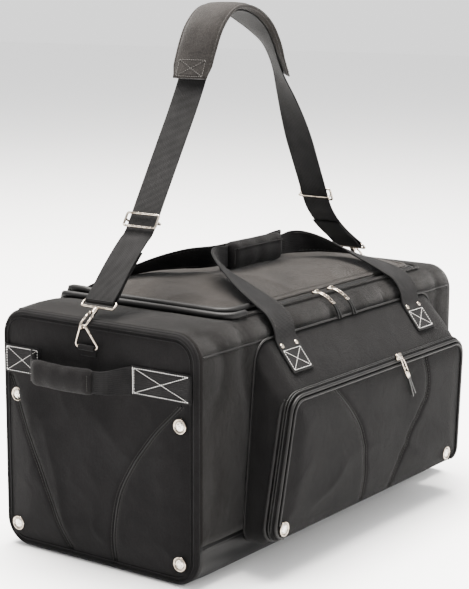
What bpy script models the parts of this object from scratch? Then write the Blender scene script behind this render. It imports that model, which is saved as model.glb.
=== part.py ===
"""Hockey equipment bag: a boxy padded duffel with a zipped lid, a zipped front pocket, two carry
handles joined by a wrap, a grip handle on each end, and a shoulder strap hooked to a ring on each end.

Metres, +Z up. The origin is on the floor under the middle of the main body. X runs along the bag,
-Y is the pocket side. Every sub-part is one closed body; touching pieces keep a small gap.
"""

import math

import bmesh
import bpy
from mathutils import Euler, Matrix, Vector

# ---- driving dimensions -------------------------------------------------------------------------
GAP = 0.0003             # clearance between touching fabrics
HALF_LENGTH = 0.3465     # middle of the body to an end panel's outer face
HALF_DEPTH = 0.175       # middle of the body to the front or back panel
HEIGHT = 0.350           # floor to the top panels
CORNER = 0.040           # radius of the body's long edges
FABRIC = 0.003           # foam-backed cloth
PIPING = 0.003           # radius of the cord round each end panel
END_INSET = FABRIC + GAP  # the piping round an end panel lies just inside the body's wall
SEAM_Z = 0.3185          # seam between the top panels and the front and back panels
BOTTOM_SEAM_Z = 0.055    # seam between the bottom panel and the front and back panels

FITTING_X = 0.0215       # middle of the carry handles
HANDLE_SPAN = 0.347      # between the two legs of a carry handle
WEBBING = 0.050          # broad webbing: carry handles and shoulder strap
END_WEBBING = 0.040      # narrower webbing on the end panels
WEB_THICK = 0.0024

LID_X = (-0.225, 0.285)  # ends of the lid
LID_Y = (-0.1335, 0.150)  # front zip and back seam of the lid
LID_BASE = HEIGHT + 0.0005
LID_RISE = 0.025         # how far the lid is domed
FOLD_Y = -0.0255         # the lid folds up along this line, just in front of the strap
TAPE_OUT, TAPE_IN = 0.005, 0.004  # zip tape beyond and under the lid's edge
LID_SLIDERS = (("left", -0.010), ("right", 0.030))  # places of the lid's sliders along X
SLIDER_HALF = (0.0045, 0.0055, 0.0030)
PULL_WIDTH, PULL_THICK, PULL_LIFT = 0.008, 0.0016, 0.0042

POCKET_BACK_Y = -HALF_DEPTH - 2 * GAP
POCKET_WALL = 0.004
POCKET_RADII = (0.020, 0.020, 0.030, 0.030)
POCKET_VENTS, POCKET_VENT_Z = (("left", -0.236), ("right", 0.222)), 0.071
POCKET_SLIDER_X, POCKET_SLIDER_Z = 0.0665, 0.2556
POCKET_PULL_LEAN, POCKET_PULL_LENGTH = math.radians(32), 0.070
POCKET_FRONT_Y = -0.2285
FLAP_THICK = 0.008
FLAP_FRONT_Y = POCKET_FRONT_Y - GAP - FLAP_THICK
POCKET_BACK = ((-0.243, 0.040), (0.262, 0.040), (0.268, SEAM_Z), (-0.215, SEAM_Z))
POCKET_FRONT = ((-0.262, 0.055), (0.262, 0.055), (0.275, 0.252), (-0.215, 0.252))

STRAP_Y = 0.010          # the strap stands in this plane
VENT_RADIUS, VENT_THICK = 0.0105, 0.002
VENT_Y, VENT_LOW, VENT_HIGH = 0.147, 0.034, 0.225

EYE_AT = (0.3314, 0.3630)        # foot of a strap eye: distance along X, height
HOOK_TILT = math.radians(38)     # how far a hook leans below the horizontal
JAW_U, JAW_V, JAW_RADIUS = 0.034, 0.003, 0.005
HOOK_WIRE, EYE_WIRE, RING_WIRE = 0.0016, 0.00175, 0.0015
RING_LEAN = math.asin(0.25)      # the rings stand out from the end panels
RING_WIDTH, RING_PEAK, RING_ROUND = 0.043, 0.0411, 0.006

GRIP_X, GRIP_Z = 0.3685, 0.270   # middle of an end grip
GRIP_Y = (-0.012, 0.094)
BAND_Z = 0.277
TAB_FOOT, TAB_WIDTH, TAB_OUTER, TAB_HOLE = 0.2985, 0.028, 0.0042, 0.0022
GRIP_SIZE, GRIP_SLOT = (0.008, 0.018), (0.0017, 0.0156)      # half thickness and half height

LINE_TOP = (-0.137, 0.622)       # straight stretch of the left strap leg
LINE_FOOT = (-0.236, 0.459)
RIGHT_TOP = (0.150, 0.592)       # straight stretch of the right strap leg
RIGHT_FOOT = (0.2225, 0.4514)
PAD_WIDTH, PAD_THICK = 0.070, 0.009
WRAP_SIZE, WRAP_SLOT, WRAP_LENGTH = (0.011, 0.020), (0.0017, 0.0164), 0.136
WRAP_AT = (FITTING_X - 0.001, -0.006, 0.400)
ANCHOR_DOWN, ANCHOR_LENGTH = 0.013, 0.045   # sewn end of a front handle, down the pocket's top
EYE_HALF, EYE_NEAR, EYE_FAR = 0.0285, 0.0132, 0.0022
ADJUSTER_HALF, ADJUSTER_REACH, ADJUSTER_STAND = 0.0285, 0.010, 0.0045

bag = cutters = None


# ---- scene and materials --------------------------------------------------------------------------
def clear_scene():
    for old in list(bpy.data.objects):
        bpy.data.objects.remove(old, do_unlink=True)


def collection(name):
    made = bpy.data.collections.new(name)
    bpy.context.scene.collection.children.link(made)
    return made


FINISHES = {
    "cloth": ((0.045, 0.043, 0.043), 0.85, 0.0),
    "tarpaulin": ((0.022, 0.022, 0.023), 0.55, 0.0),
    "webbing": ((0.028, 0.028, 0.029), 0.80, 0.0),
    "padding": ((0.060, 0.057, 0.056), 0.85, 0.0),
    "board": ((0.10, 0.10, 0.10), 0.60, 0.0),
    "nickel": ((0.75, 0.72, 0.68), 0.25, 1.0),
}


def finish(thing, name, kind):
    """Name an object, put it in the bag's collection and give it its own material."""
    colour, roughness, metallic = FINISHES[kind]
    thing.name = name
    if thing.data.users == 1:
        thing.data.name = name
    for holder in list(thing.users_collection):
        holder.objects.unlink(thing)
    bag.objects.link(thing)
    paint = bpy.data.materials.new(name)
    paint.use_nodes = True
    shader = paint.node_tree.nodes["Principled BSDF"]
    shader.inputs["Base Color"].default_value = (*colour, 1)
    shader.inputs["Roughness"].default_value = roughness
    shader.inputs["Metallic"].default_value = metallic
    thing.data.materials.clear()
    thing.data.materials.append(paint)
    return thing


# ---- outlines -------------------------------------------------------------------------------------
def rounded(corners, radii, steps=5):
    """Closed outline through the corners (2D), each rounded by its radius."""
    outline = []
    count = len(corners)
    for i, corner in enumerate(corners):
        here = Vector(corner)
        before = (Vector(corners[i - 1]) - here).normalized()
        after = (Vector(corners[(i + 1) % count]) - here).normalized()
        half = before.angle(after) / 2
        reach = radii[i] / math.tan(half)
        centre = here + (before + after).normalized() * radii[i] / math.sin(half)
        start = here + before * reach - centre
        end = here + after * reach - centre
        turn = start.angle_signed(end)
        for k in range(steps + 1):
            outline.append(centre + Matrix.Rotation(-turn * k / steps, 2) @ start)
    return outline


def rectangle(half_u, half_v):
    return [(-half_u, -half_v), (half_u, -half_v), (half_u, half_v), (-half_u, half_v)]


def square_section(inset):
    """The body's rounded square section in Y and Z, drawn smaller by inset."""
    y, low, high = HALF_DEPTH - inset, inset, HEIGHT - inset
    corners = [(-y, low), (y, low), (y, high), (-y, high)]
    return rounded(corners, [CORNER - inset] * 4, 6)


def section_band(stations):
    """Outline of a strip of the body's wall: (point, inward normal) pairs along its outer side."""
    outer = [Vector(p) for p, _ in stations]
    inner = [Vector(p) + Vector(n) * FABRIC for p, n in stations]
    return outer + inner[::-1]


def corner_stations(side_y, side_z, first, last, steps=6):
    """Stations along one long edge of the body, from angle first to last, in degrees."""
    centre = Vector((side_y * (HALF_DEPTH - CORNER), HEIGHT / 2 + side_z * (HEIGHT / 2 - CORNER)))
    made = []
    for k in range(steps + 1):
        angle = math.radians(first + (last - first) * k / steps)
        ray = Vector((math.cos(angle), math.sin(angle)))
        made.append((centre + ray * CORNER, -ray))
    return made


# ---- makers ---------------------------------------------------------------------------------------
ALONG_X = Euler((math.pi / 2, 0, math.pi / 2))  # outline in Y and Z, thickness along X
ALONG_Y = Euler((math.pi / 2, 0, 0))            # outline in X and Z, thickness along -Y
FLAT = Euler((0, 0, 0))                         # outline in X and Y, thickness along Z


def prism(name, kind, outlines, thick, centre, turn):
    """A flat outline (with holes) given a thickness, centred on the point centre."""
    data = bpy.data.curves.new(name, "CURVE")
    data.dimensions = "2D"
    data.fill_mode = "BOTH"
    data.extrude = thick / 2
    for outline in outlines:
        spline = data.splines.new("POLY")
        spline.points.add(len(outline) - 1)
        for point, (x, y) in zip(spline.points, outline):
            point.co = (x, y, 0, 1)
        spline.use_cyclic_u = True
    made = bpy.data.objects.new(name, data)
    made.rotation_euler = turn
    made.location = centre
    return finish(made, name, kind)


def wire(name, kind, points, radius, closed=False, rings=2):
    """A round wire along the points."""
    data = bpy.data.curves.new(name, "CURVE")
    data.dimensions = "3D"
    data.bevel_depth = radius
    data.bevel_resolution = rings
    data.use_fill_caps = not closed
    spline = data.splines.new("POLY")
    spline.points.add(len(points) - 1)
    for point, place in zip(spline.points, points):
        point.co = (*place, 1)
    spline.use_cyclic_u = closed
    return finish(bpy.data.objects.new(name, data), name, kind)


def block(name, kind, low, high, round_by=0.0):
    """A box between two corners, its edges rounded if asked."""
    low, high = Vector(low), Vector(high)
    bpy.ops.mesh.primitive_cube_add(size=1, location=(low + high) / 2)
    made = bpy.context.object
    made.scale = high - low
    bpy.ops.object.transform_apply(location=False, rotation=False, scale=True)
    if round_by:
        bevel = made.modifiers.new("edges", "BEVEL")
        bevel.width = round_by
        bevel.segments = 2
    return finish(made, name, kind)


def disc(name, kind, centre, radius, thick, axis):
    """A flat round disc with a rounded rim, its back face centred on centre."""
    bpy.ops.mesh.primitive_cylinder_add(vertices=20, radius=radius, depth=thick)
    made = bpy.context.object
    made.rotation_euler = Vector(axis).to_track_quat("Z", "Y").to_euler()
    made.location = Vector(centre) + Vector(axis) * thick / 2
    bevel = made.modifiers.new("rim", "BEVEL")
    bevel.width = thick * 0.3
    bevel.limit_method = "ANGLE"
    return finish(made, name, kind)


def ribbon(name, kind, centre, across, widths, thick):
    """Webbing: a strip swept along centre, its width lying along across at every point."""
    mesh = bmesh.new()
    rows = []
    for middle, side, width in zip(centre, across, widths):
        half = Vector(side).normalized() * width / 2
        rows.append([mesh.verts.new(Vector(middle) - half), mesh.verts.new(Vector(middle) + half)])
    for (a, b), (c, d) in zip(rows, rows[1:]):
        mesh.faces.new((a, b, d, c))
    data = bpy.data.meshes.new(name)
    mesh.to_mesh(data)
    mesh.free()
    made = bpy.data.objects.new(name, data)
    solid = made.modifiers.new("thickness", "SOLIDIFY")
    solid.thickness = thick
    solid.offset = 0
    return finish(made, name, kind)


def loft_tube(name, kind, loops):
    """A hollow sleeve: closed loops joined one to the next, and the last back to the first."""
    mesh = bmesh.new()
    rows = [[mesh.verts.new(p) for p in loop] for loop in loops]
    for row, after in zip(rows, rows[1:] + rows[:1]):
        for i in range(len(row)):
            j = (i + 1) % len(row)
            mesh.faces.new((row[i], row[j], after[j], after[i]))
    bmesh.ops.recalc_face_normals(mesh, faces=mesh.faces)
    data = bpy.data.meshes.new(name)
    mesh.to_mesh(data)
    mesh.free()
    return finish(bpy.data.objects.new(name, data), name, kind)


def as_mesh(thing):
    """Turn a curve object into a mesh object with welded caps."""
    bpy.context.view_layer.update()
    evaluated = thing.evaluated_get(bpy.context.evaluated_depsgraph_get())
    data = bpy.data.meshes.new_from_object(evaluated)
    mesh = bmesh.new()
    mesh.from_mesh(data)
    bmesh.ops.remove_doubles(mesh, verts=mesh.verts, dist=0.00001)
    bmesh.ops.recalc_face_normals(mesh, faces=mesh.faces)
    mesh.to_mesh(data)
    mesh.free()
    made = bpy.data.objects.new(thing.name + "_mesh", data)
    made.matrix_world = thing.matrix_world.copy()
    bpy.data.objects.remove(thing, do_unlink=True)
    return made


def union(name, kind, first, second):
    """One body from two wires."""
    body, extra = as_mesh(first), as_mesh(second)
    cutters.objects.link(extra)
    extra.hide_render = True
    extra.display_type = "WIRE"
    join = body.modifiers.new("union", "BOOLEAN")
    join.operation = "UNION"
    join.object = extra
    return finish(body, name, kind)


def smooth_path(points, step, places=3):
    """Points about step apart on a Catmull-Rom curve; only the first few numbers are a place."""
    points = [Vector(p) for p in points]
    points = [2 * points[0] - points[1]] + points + [2 * points[-1] - points[-2]]
    path = []
    for p0, p1, p2, p3 in zip(points, points[1:], points[2:], points[3:]):
        count = max(1, round(Vector((p2 - p1)[:places]).length / step))
        for k in range(count):
            t = k / count
            path.append(
                0.5 * (2 * p1 + (p2 - p0) * t + (2 * p0 - 5 * p1 + 4 * p2 - p3) * t * t
                       + (3 * p1 - p0 - 3 * p2 + p3) * t ** 3)
            )
    path.append(points[-2])
    return path


# ---- main body --------------------------------------------------------------------------------------
def make_body():
    reach = HALF_LENGTH - 2 * PIPING - GAP
    front, back = -HALF_DEPTH, HALF_DEPTH
    inward = {front: (1, 0), back: (-1, 0)}

    bottom = [((front, BOTTOM_SEAM_Z - GAP), inward[front])]
    bottom += corner_stations(-1, -1, 180, 270)
    bottom += corner_stations(1, -1, 270, 360)
    bottom += [((back, BOTTOM_SEAM_Z - GAP), inward[back])]
    prism("bottom_panel", "tarpaulin", [section_band(bottom)], 2 * reach, (0, 0, 0), ALONG_X)

    # the seam with the top panels lies a little way up the rounded edge
    seam = math.degrees(math.asin((SEAM_Z - HEIGHT + CORNER) / CORNER))
    slit = math.degrees(GAP / CORNER)
    wall = [((front, BOTTOM_SEAM_Z), inward[front])] + corner_stations(-1, 1, 180, 180 - seam, 2)
    prism("front_panel", "cloth", [section_band(wall)], 2 * reach, (0, 0, 0), ALONG_X)
    wall = [((back, BOTTOM_SEAM_Z), inward[back])] + corner_stations(1, 1, 0, seam, 2)
    prism("back_panel", "cloth", [section_band(wall)], 2 * reach, (0, 0, 0), ALONG_X)

    # the front top panel stops at the zip tape, the back one at the lid's back seam
    centre_y = HALF_DEPTH - CORNER
    front_edge = math.degrees(math.acos((LID_Y[0] - TAPE_OUT - 2 * GAP + centre_y) / CORNER))
    strip = corner_stations(-1, 1, 180 - seam - slit, front_edge, 7)
    prism("front_top_panel", "cloth", [section_band(strip)], 2 * reach, (0, 0, 0), ALONG_X)
    back_edge = math.degrees(math.acos((LID_Y[1] + 2 * GAP - centre_y) / CORNER))
    strip = corner_stations(1, 1, back_edge, seam + slit, 7)
    prism("back_top_panel", "cloth", [section_band(strip)], 2 * reach, (0, 0, 0), ALONG_X)

    front_y = LID_Y[0] - TAPE_OUT + GAP
    back_y = LID_Y[1] - 0.001
    top = HEIGHT - FABRIC, HEIGHT
    block("left_top_panel", "cloth",
          (-reach, front_y, top[0]), (LID_X[0] - TAPE_OUT - GAP, back_y, top[1]))
    block("right_top_panel", "cloth",
          (LID_X[1] + TAPE_OUT + GAP, front_y, top[0]), (reach, back_y, top[1]))
    block("base_board", "board",
          (-0.322, -0.138, FABRIC + GAP), (0.322, 0.138, 2 * FABRIC + GAP), 0.001)

    for side, word in ((-1, "left"), (1, "right")):
        panel = square_section(END_INSET + 2 * PIPING + GAP)
        prism(word + "_end_panel", "cloth", [panel], FABRIC,
              (side * (HALF_LENGTH - FABRIC / 2), 0, 0), ALONG_X)
        cord = [(side * (HALF_LENGTH - PIPING), y, z)
                for y, z in square_section(END_INSET + PIPING)]
        wire(word + "_piping", "tarpaulin", cord, PIPING, closed=True)
        for place, y, z in (("front_low", -VENT_Y, VENT_LOW), ("front_high", -VENT_Y, VENT_HIGH),
                            ("back_low", VENT_Y, VENT_LOW), ("back_high", VENT_Y, VENT_HIGH)):
            disc(word + "_vent_" + place, "nickel", (side * (HALF_LENGTH + GAP), y, z),
                 VENT_RADIUS, VENT_THICK, (side, 0, 0))


# ---- lid ------------------------------------------------------------------------------------------
def lid_height(x, y):
    u = (2 * x - LID_X[0] - LID_X[1]) / (LID_X[1] - LID_X[0])
    v = (2 * y - LID_Y[0] - LID_Y[1]) / (LID_Y[1] - LID_Y[0])
    return LID_BASE + LID_RISE * (1 - u ** 4) * (1 - v ** 4)


def lid_piece(name, low_y, high_y, columns, rows):
    """A domed shell over part of the lid's depth."""
    mesh = bmesh.new()
    bmesh.ops.create_grid(mesh, x_segments=columns, y_segments=rows, size=1)
    for vert in mesh.verts:
        s, t = (vert.co.x + 1) / 2, (vert.co.y + 1) / 2
        x = LID_X[0] + s * (LID_X[1] - LID_X[0])
        y = low_y + t * (high_y - low_y)
        vert.co = (x, y, lid_height(x, y))
    under = bmesh.ops.duplicate(mesh, geom=mesh.verts[:] + mesh.edges[:] + mesh.faces[:])
    for vert in [v for v in under["geom"] if isinstance(v, bmesh.types.BMVert)]:
        vert.co.z += FABRIC
    rim = [e for e in mesh.edges if e.is_boundary]
    bmesh.ops.bridge_loops(mesh, edges=rim)
    bmesh.ops.recalc_face_normals(mesh, faces=mesh.faces)
    data = bpy.data.meshes.new(name)
    mesh.to_mesh(data)
    mesh.free()
    made = bpy.data.objects.new(name, data)
    return finish(made, name, "cloth")


def make_lid():
    lid_piece("lid_rear", FOLD_Y + 0.0005, LID_Y[1], 16, 6)
    lid_piece("lid_flap", LID_Y[0], FOLD_Y - 0.0005, 16, 5)
    (x0, x1), (y0, y1) = LID_X, (LID_Y[0], LID_Y[1] - 0.001)
    out, into = TAPE_OUT, TAPE_IN
    tape = [(x0 - out, y1), (x0 - out, y0 - out), (x1 + out, y0 - out), (x1 + out, y1),
            (x1 - into, y1), (x1 - into, y0 + into), (x0 + into, y0 + into), (x0 + into, y1)]
    prism("lid_zip_tape", "tarpaulin", [tape], FABRIC, (0, 0, HEIGHT - FABRIC / 2 - GAP), FLAT)
    # sliders sit on the fixed edge of the tape, their pulls drape over the front edge of the bag
    for word, x in LID_SLIDERS:
        zip_slider("lid_slider_" + word, (x, LID_Y[0] - 0.0075, HEIGHT + 0.0036))
        draped_pull("lid_pull_" + word, x)


def zip_slider(name, centre):
    half = Vector(SLIDER_HALF)
    centre = Vector(centre)
    block(name, "nickel", centre - half, centre + half, 0.0012)


def draped_pull(name, x):
    """A zip pull lying over the rounded top edge: an arc strip that keeps clear of the cloth."""
    centre = Vector((-(HALF_DEPTH - CORNER), HEIGHT - CORNER))
    inner, outer = CORNER + PULL_LIFT, CORNER + PULL_LIFT + PULL_THICK
    first, last, steps = 107, 169, 12
    arc = [math.radians(first + (last - first) * k / steps) for k in range(steps + 1)]
    ring = [centre + Vector((math.cos(a), math.sin(a))) * outer for a in arc]
    ring += [centre + Vector((math.cos(a), math.sin(a))) * inner for a in reversed(arc)]
    prism(name, "nickel", [ring], PULL_WIDTH, (x, 0, 0), ALONG_X)


# ---- pocket ---------------------------------------------------------------------------------------
def make_pocket():
    loops = []
    for corners, y, shrink in (
        (POCKET_BACK, POCKET_BACK_Y, 0.0),
        (POCKET_FRONT, POCKET_FRONT_Y, 0.0),
        (POCKET_FRONT, POCKET_FRONT_Y, POCKET_WALL),
        (POCKET_BACK, POCKET_BACK_Y, POCKET_WALL),
    ):
        (ax, az), (bx, bz), (cx, cz), (dx, dz) = corners
        inside = [(ax + shrink, az + shrink), (bx - shrink, bz + shrink),
                  (cx - shrink, cz - shrink), (dx + shrink, dz - shrink)]
        outline = rounded(inside, [r - shrink for r in POCKET_RADII])
        loops.append([(x, y, z) for x, z in outline])
    loft_tube("pocket_gusset", "cloth", loops)
    prism("pocket_flap", "cloth", [rounded(POCKET_FRONT, POCKET_RADII)], FLAP_THICK,
          (0, FLAP_FRONT_Y + FLAP_THICK / 2, 0), ALONG_Y)
    for word, x in POCKET_VENTS:
        disc("pocket_vent_" + word, "nickel", (x, FLAP_FRONT_Y - GAP, POCKET_VENT_Z), VENT_RADIUS,
             VENT_THICK, (0, -1, 0))
    zip_slider("pocket_slider", (POCKET_SLIDER_X, FLAP_FRONT_Y + 0.0005, POCKET_SLIDER_Z))
    # the pull hangs askew in front of the flap
    lean = POCKET_PULL_LEAN
    along = Vector((math.sin(lean), -math.cos(lean))) * POCKET_PULL_LENGTH
    beside = Vector((math.cos(lean), math.sin(lean))) * PULL_WIDTH / 2
    top = Vector((POCKET_SLIDER_X, 0.2535))
    plate = [top - beside, top + beside, top + along + beside, top + along - beside]
    prism("pocket_pull", "nickel", [plate], PULL_THICK, (0, FLAP_FRONT_Y - 0.0070, 0), ALONG_Y)


# ---- carry handles ----------------------------------------------------------------------------------
ROOF_OUT = Vector((SEAM_Z - 0.252, 0)) - Vector((0, POCKET_FRONT_Y - POCKET_BACK_Y))
ROOF_NORMAL = Vector((-ROOF_OUT.x, ROOF_OUT.y)).normalized()   # in Y and Z, away from the pocket
ROOF_DOWN = Vector((-ROOF_NORMAL.y, ROOF_NORMAL.x))            # down the pocket's sloping top

# left leg of the front handle from its seam to the wrap: offset from the handle's middle, Y, Z,
# then the direction of the webbing's width, then its width
FRONT_LEG = (
    ((-0.1735, -0.1825, 0.3152), (1, 0, 0), 0.050),
    ((-0.1735, -0.1780, 0.3330), (1, 0, 0), 0.050),
    ((-0.1730, -0.1655, 0.3500), (1, 0, 0), 0.050),
    ((-0.1705, -0.1430, 0.3620), (1, 0.02, 0), 0.050),
    ((-0.1620, -0.1080, 0.3760), (1, -0.10, -0.20), 0.050),
    ((-0.1470, -0.0680, 0.3920), (0.80, -0.30, -0.50), 0.048),
    ((-0.1260, -0.0330, 0.4000), (0.50, -0.35, -0.80), 0.042),
    ((-0.1000, -0.0110, 0.4010), (0.15, -0.15, -1), 0.036),
    ((-0.0780, -0.0061, 0.4000), (0, 0, -1), 0.032),
    ((-0.0700, -0.0060, 0.4000), (0, 0, -1), 0.032),
    ((-0.0400, -0.0060, 0.4000), (0, 0, -1), 0.032),
)
BACK_LEG = (
    ((-0.1735, 0.1785, 0.3152), (-1, 0, 0), 0.050),
    ((-0.1735, 0.1765, 0.3330), (-1, 0, 0), 0.050),
    ((-0.1730, 0.1655, 0.3500), (-1, 0, 0), 0.050),
    ((-0.1705, 0.1430, 0.3620), (-1, 0.02, 0), 0.050),
    ((-0.1620, 0.1080, 0.3760), (-1, -0.10, 0.20), 0.050),
    ((-0.1470, 0.0700, 0.3900), (-0.80, -0.30, 0.50), 0.046),
    ((-0.1260, 0.0360, 0.3985), (-0.50, -0.35, 0.80), 0.040),
    ((-0.1000, 0.0150, 0.4000), (-0.15, -0.15, 1), 0.034),
    ((-0.0780, 0.0091, 0.4000), (0, 0, 1), 0.032),
    ((-0.0400, 0.0090, 0.4000), (0, 0, 1), 0.032),
)


def carry_handle(name, leg):
    """Both legs and the grip stretch between them, mirrored about the handle's middle."""
    keys = [(*p, *d, w) for p, d, w in leg]
    keys += [(-x, y, z, -dx, dy, dz, w) for x, y, z, dx, dy, dz, w in reversed(keys)]
    # the second half's width directions are reversed so that the strip never flips over
    half = len(leg)
    for i in range(half, 2 * half):
        x, y, z, dx, dy, dz, w = keys[i]
        keys[i] = (x, y, z, -dx, dy, dz, w)
    path = smooth_path(keys, 0.012)
    centre = [(FITTING_X + p[0], p[1], p[2]) for p in path]
    ribbon(name, "webbing", centre, [tuple(p)[3:6] for p in path], [p[6] for p in path], WEB_THICK)


def make_handles():
    carry_handle("front_handle", FRONT_LEG)
    carry_handle("back_handle", BACK_LEG)
    # the wrap closes round the front handle's grip; the webbing runs through its slot
    prism("handle_wrap", "padding", [rounded(rectangle(*WRAP_SIZE), [0.006] * 4), rectangle(*WRAP_SLOT)],
          WRAP_LENGTH, WRAP_AT, ALONG_X)
    half_thick = WEB_THICK / 2
    for word, side in (("left", -1), ("right", 1)):
        x = FITTING_X + side * HANDLE_SPAN / 2
        # sewn end on the pocket's sloping top
        start = Vector((POCKET_BACK_Y, SEAM_Z)) + ROOF_DOWN * ANCHOR_DOWN + ROOF_NORMAL * (GAP + half_thick)
        end = start + ROOF_DOWN * ANCHOR_LENGTH
        centre = [(x, *start), (x, *end)]
        ribbon("front_anchor_" + word, "webbing", centre, [(1, 0, 0)] * 2, [WEBBING] * 2, WEB_THICK)
        y = HALF_DEPTH + GAP
        block("back_anchor_" + word, "webbing", (x - WEBBING / 2, y, 0.262),
              (x + WEBBING / 2, y + WEB_THICK, 0.312))


# ---- end grips and rings ----------------------------------------------------------------------------
def hook_frame(side):
    """Foot of the eye, direction down the hook, and direction towards the gate."""
    foot = Vector((side * EYE_AT[0], STRAP_Y, EYE_AT[1]))
    down = Vector((side * math.cos(HOOK_TILT), 0, -math.sin(HOOK_TILT)))
    out = Vector((side * math.sin(HOOK_TILT), 0, math.cos(HOOK_TILT)))
    return foot, down, out


def ring_base(side):
    """Middle of a ring's straight side, worked back from the hook's jaw, and the way it leans."""
    foot, down, out = hook_frame(side)
    half = math.atan(RING_WIDTH / 2 / RING_PEAK)
    top = RING_PEAK - RING_ROUND * (1 / math.sin(half) - 1)
    lean = Vector((side * math.sin(RING_LEAN), 0, math.cos(RING_LEAN)))
    return foot + down * JAW_U + out * JAW_V - lean * top, lean


def make_ends():
    for side, word in ((-1, "left"), (1, "right")):
        face = side * (HALF_LENGTH + GAP)
        low_x, high_x = sorted((face, face + side * WEB_THICK))
        block(word + "_grip_band", "webbing", (low_x, -0.162, BAND_Z - END_WEBBING / 2),
              (high_x, 0.162, BAND_Z + END_WEBBING / 2))
        keys = ((0.3538, -0.062, 0.2745, 0.012), (0.3590, -0.050, 0.2730, 0.018),
                (0.3668, -0.032, 0.2710, 0.028), (GRIP_X, -0.018, GRIP_Z, 0.030),
                (GRIP_X, -0.010, GRIP_Z, 0.030), (GRIP_X, 0.040, GRIP_Z, 0.030),
                (GRIP_X, 0.092, GRIP_Z, 0.030), (GRIP_X, 0.098, GRIP_Z, 0.028),
                (0.3645, 0.108, 0.2715, 0.020), (0.3538, 0.118, 0.2745, 0.012))
        path = smooth_path(keys, 0.010)
        ribbon(word + "_grip_webbing", "webbing", [(side * p[0], p[1], p[2]) for p in path],
               [(0, 0, 1)] * len(path), [p[3] for p in path], WEB_THICK)
        outer = rounded(rectangle(*GRIP_SIZE), [0.005] * 4)
        prism(word + "_grip_wrap", "padding", [outer, rectangle(*GRIP_SLOT)], GRIP_Y[1] - GRIP_Y[0],
              (side * GRIP_X, (GRIP_Y[0] + GRIP_Y[1]) / 2, GRIP_Z), ALONG_Y)

        base, lean = ring_base(side)
        corners = [(-RING_WIDTH / 2, 0), (RING_WIDTH / 2, 0), (0, RING_PEAK)]
        loop = rounded(corners, [0.004, 0.004, RING_ROUND], 6)
        wire(word + "_ring", "nickel", [base + Vector((0, y, 0)) + lean * t for y, t in loop],
             RING_WIRE, closed=True)
        # a tab of webbing sewn to the end panel and looped round the ring's straight side
        bar = Vector((base.x, base.z))
        outside, skin = TAB_OUTER, side * 0.0025
        arc = [math.radians(a) for a in range(150, -91, -20)]
        loop = [(face, TAB_FOOT), (face, bar.y + 0.001)]
        loop += [(bar.x + side * math.cos(a) * outside, bar.y + math.sin(a) * outside) for a in arc]
        loop += [(face + skin, bar.y - outside - 0.001), (face + skin, TAB_FOOT)]
        hole = [(bar.x + math.cos(math.tau * k / 12) * TAB_HOLE,
                 bar.y + math.sin(math.tau * k / 12) * TAB_HOLE) for k in range(12)]
        prism(word + "_ring_tab", "tarpaulin", [loop, hole], TAB_WIDTH, (0, STRAP_Y, 0), ALONG_Y)


# ---- shoulder strap -----------------------------------------------------------------------------------
# middle of the strap in X and Z from the left eye to the right eye, and the twist in degrees
STRAP_ROUTE = (
    (-0.3095, 0.3875, 0), (-0.290, 0.409, 0), (-0.268, 0.431, 0), (-0.250, 0.447, 0),
    (*LINE_FOOT, 0), (-0.2112, 0.4998, 0), (-0.1865, 0.5405, 0), (-0.1617, 0.5813, 0),
    (*LINE_TOP, 0), (-0.114, 0.664, 0), (-0.097, 0.704, 0), (-0.080, 0.735, 0),
    (-0.055, 0.757, 0), (-0.028, 0.763, 0), (0.005, 0.756, 0), (0.036, 0.741, 6),
    (0.062, 0.722, 20), (0.085, 0.700, 34), (0.107, 0.668, 36), (0.129, 0.631, 22),
    (*RIGHT_TOP, 8), (0.167, 0.559, 0), (0.185, 0.524, 0), (0.204, 0.4873, 0),
    (*RIGHT_FOOT, 0), (0.237, 0.433, 0), (0.256, 0.416, 0), (0.280, 0.399, 0), (0.304, 0.3845, 0),
)
PAD_ENDS = (9, 18)        # the pad runs between these points of the route
FOLD_BACK = 0.088         # length of the second layer above each eye


def turn_frame(path, i):
    """Direction, width direction and outward normal of the strap at one sampled point."""
    before, after = path[max(i - 1, 0)], path[min(i + 1, len(path) - 1)]
    along = Vector((after[0] - before[0], 0, after[1] - before[1])).normalized()
    across = Matrix.Rotation(math.radians(path[i][2]), 3, along) @ Vector((0, 1, 0))
    return along, across, along.cross(across)


def strap_point(path, i, lift=0.0):
    return Vector((path[i][0], STRAP_Y, path[i][1])) + turn_frame(path, i)[2] * lift


def folded_end(path, eye, first):
    """The strap's end: a turn round the eye's bar and a second layer lying under the first."""
    order = range(len(path)) if first else range(len(path) - 1, -1, -1)
    radius = EYE_WIRE + 0.0004 + WEB_THICK / 2
    start = strap_point(path, order[0])
    away = (start - eye).normalized()
    outward = turn_frame(path, order[0])[2]
    outward = (outward - away * outward.dot(away)).normalized()
    turn = []
    for k in range(9):
        angle = math.pi * k / 8
        turn.append(eye + (outward * math.cos(angle) - away * math.sin(angle)) * radius)
    layer, travelled, last = [], 0.0, eye
    for i in order:
        here = strap_point(path, i)
        travelled += (here - last).length
        last = here
        if travelled > FOLD_BACK:
            break
        spread = 0.0034 + (2 * radius - 0.0034) * max(0.0, 1 - travelled / 0.030)
        layer.append(here - turn_frame(path, i)[2] * spread)
    end = turn + layer
    return end[::-1] if first else end


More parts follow.
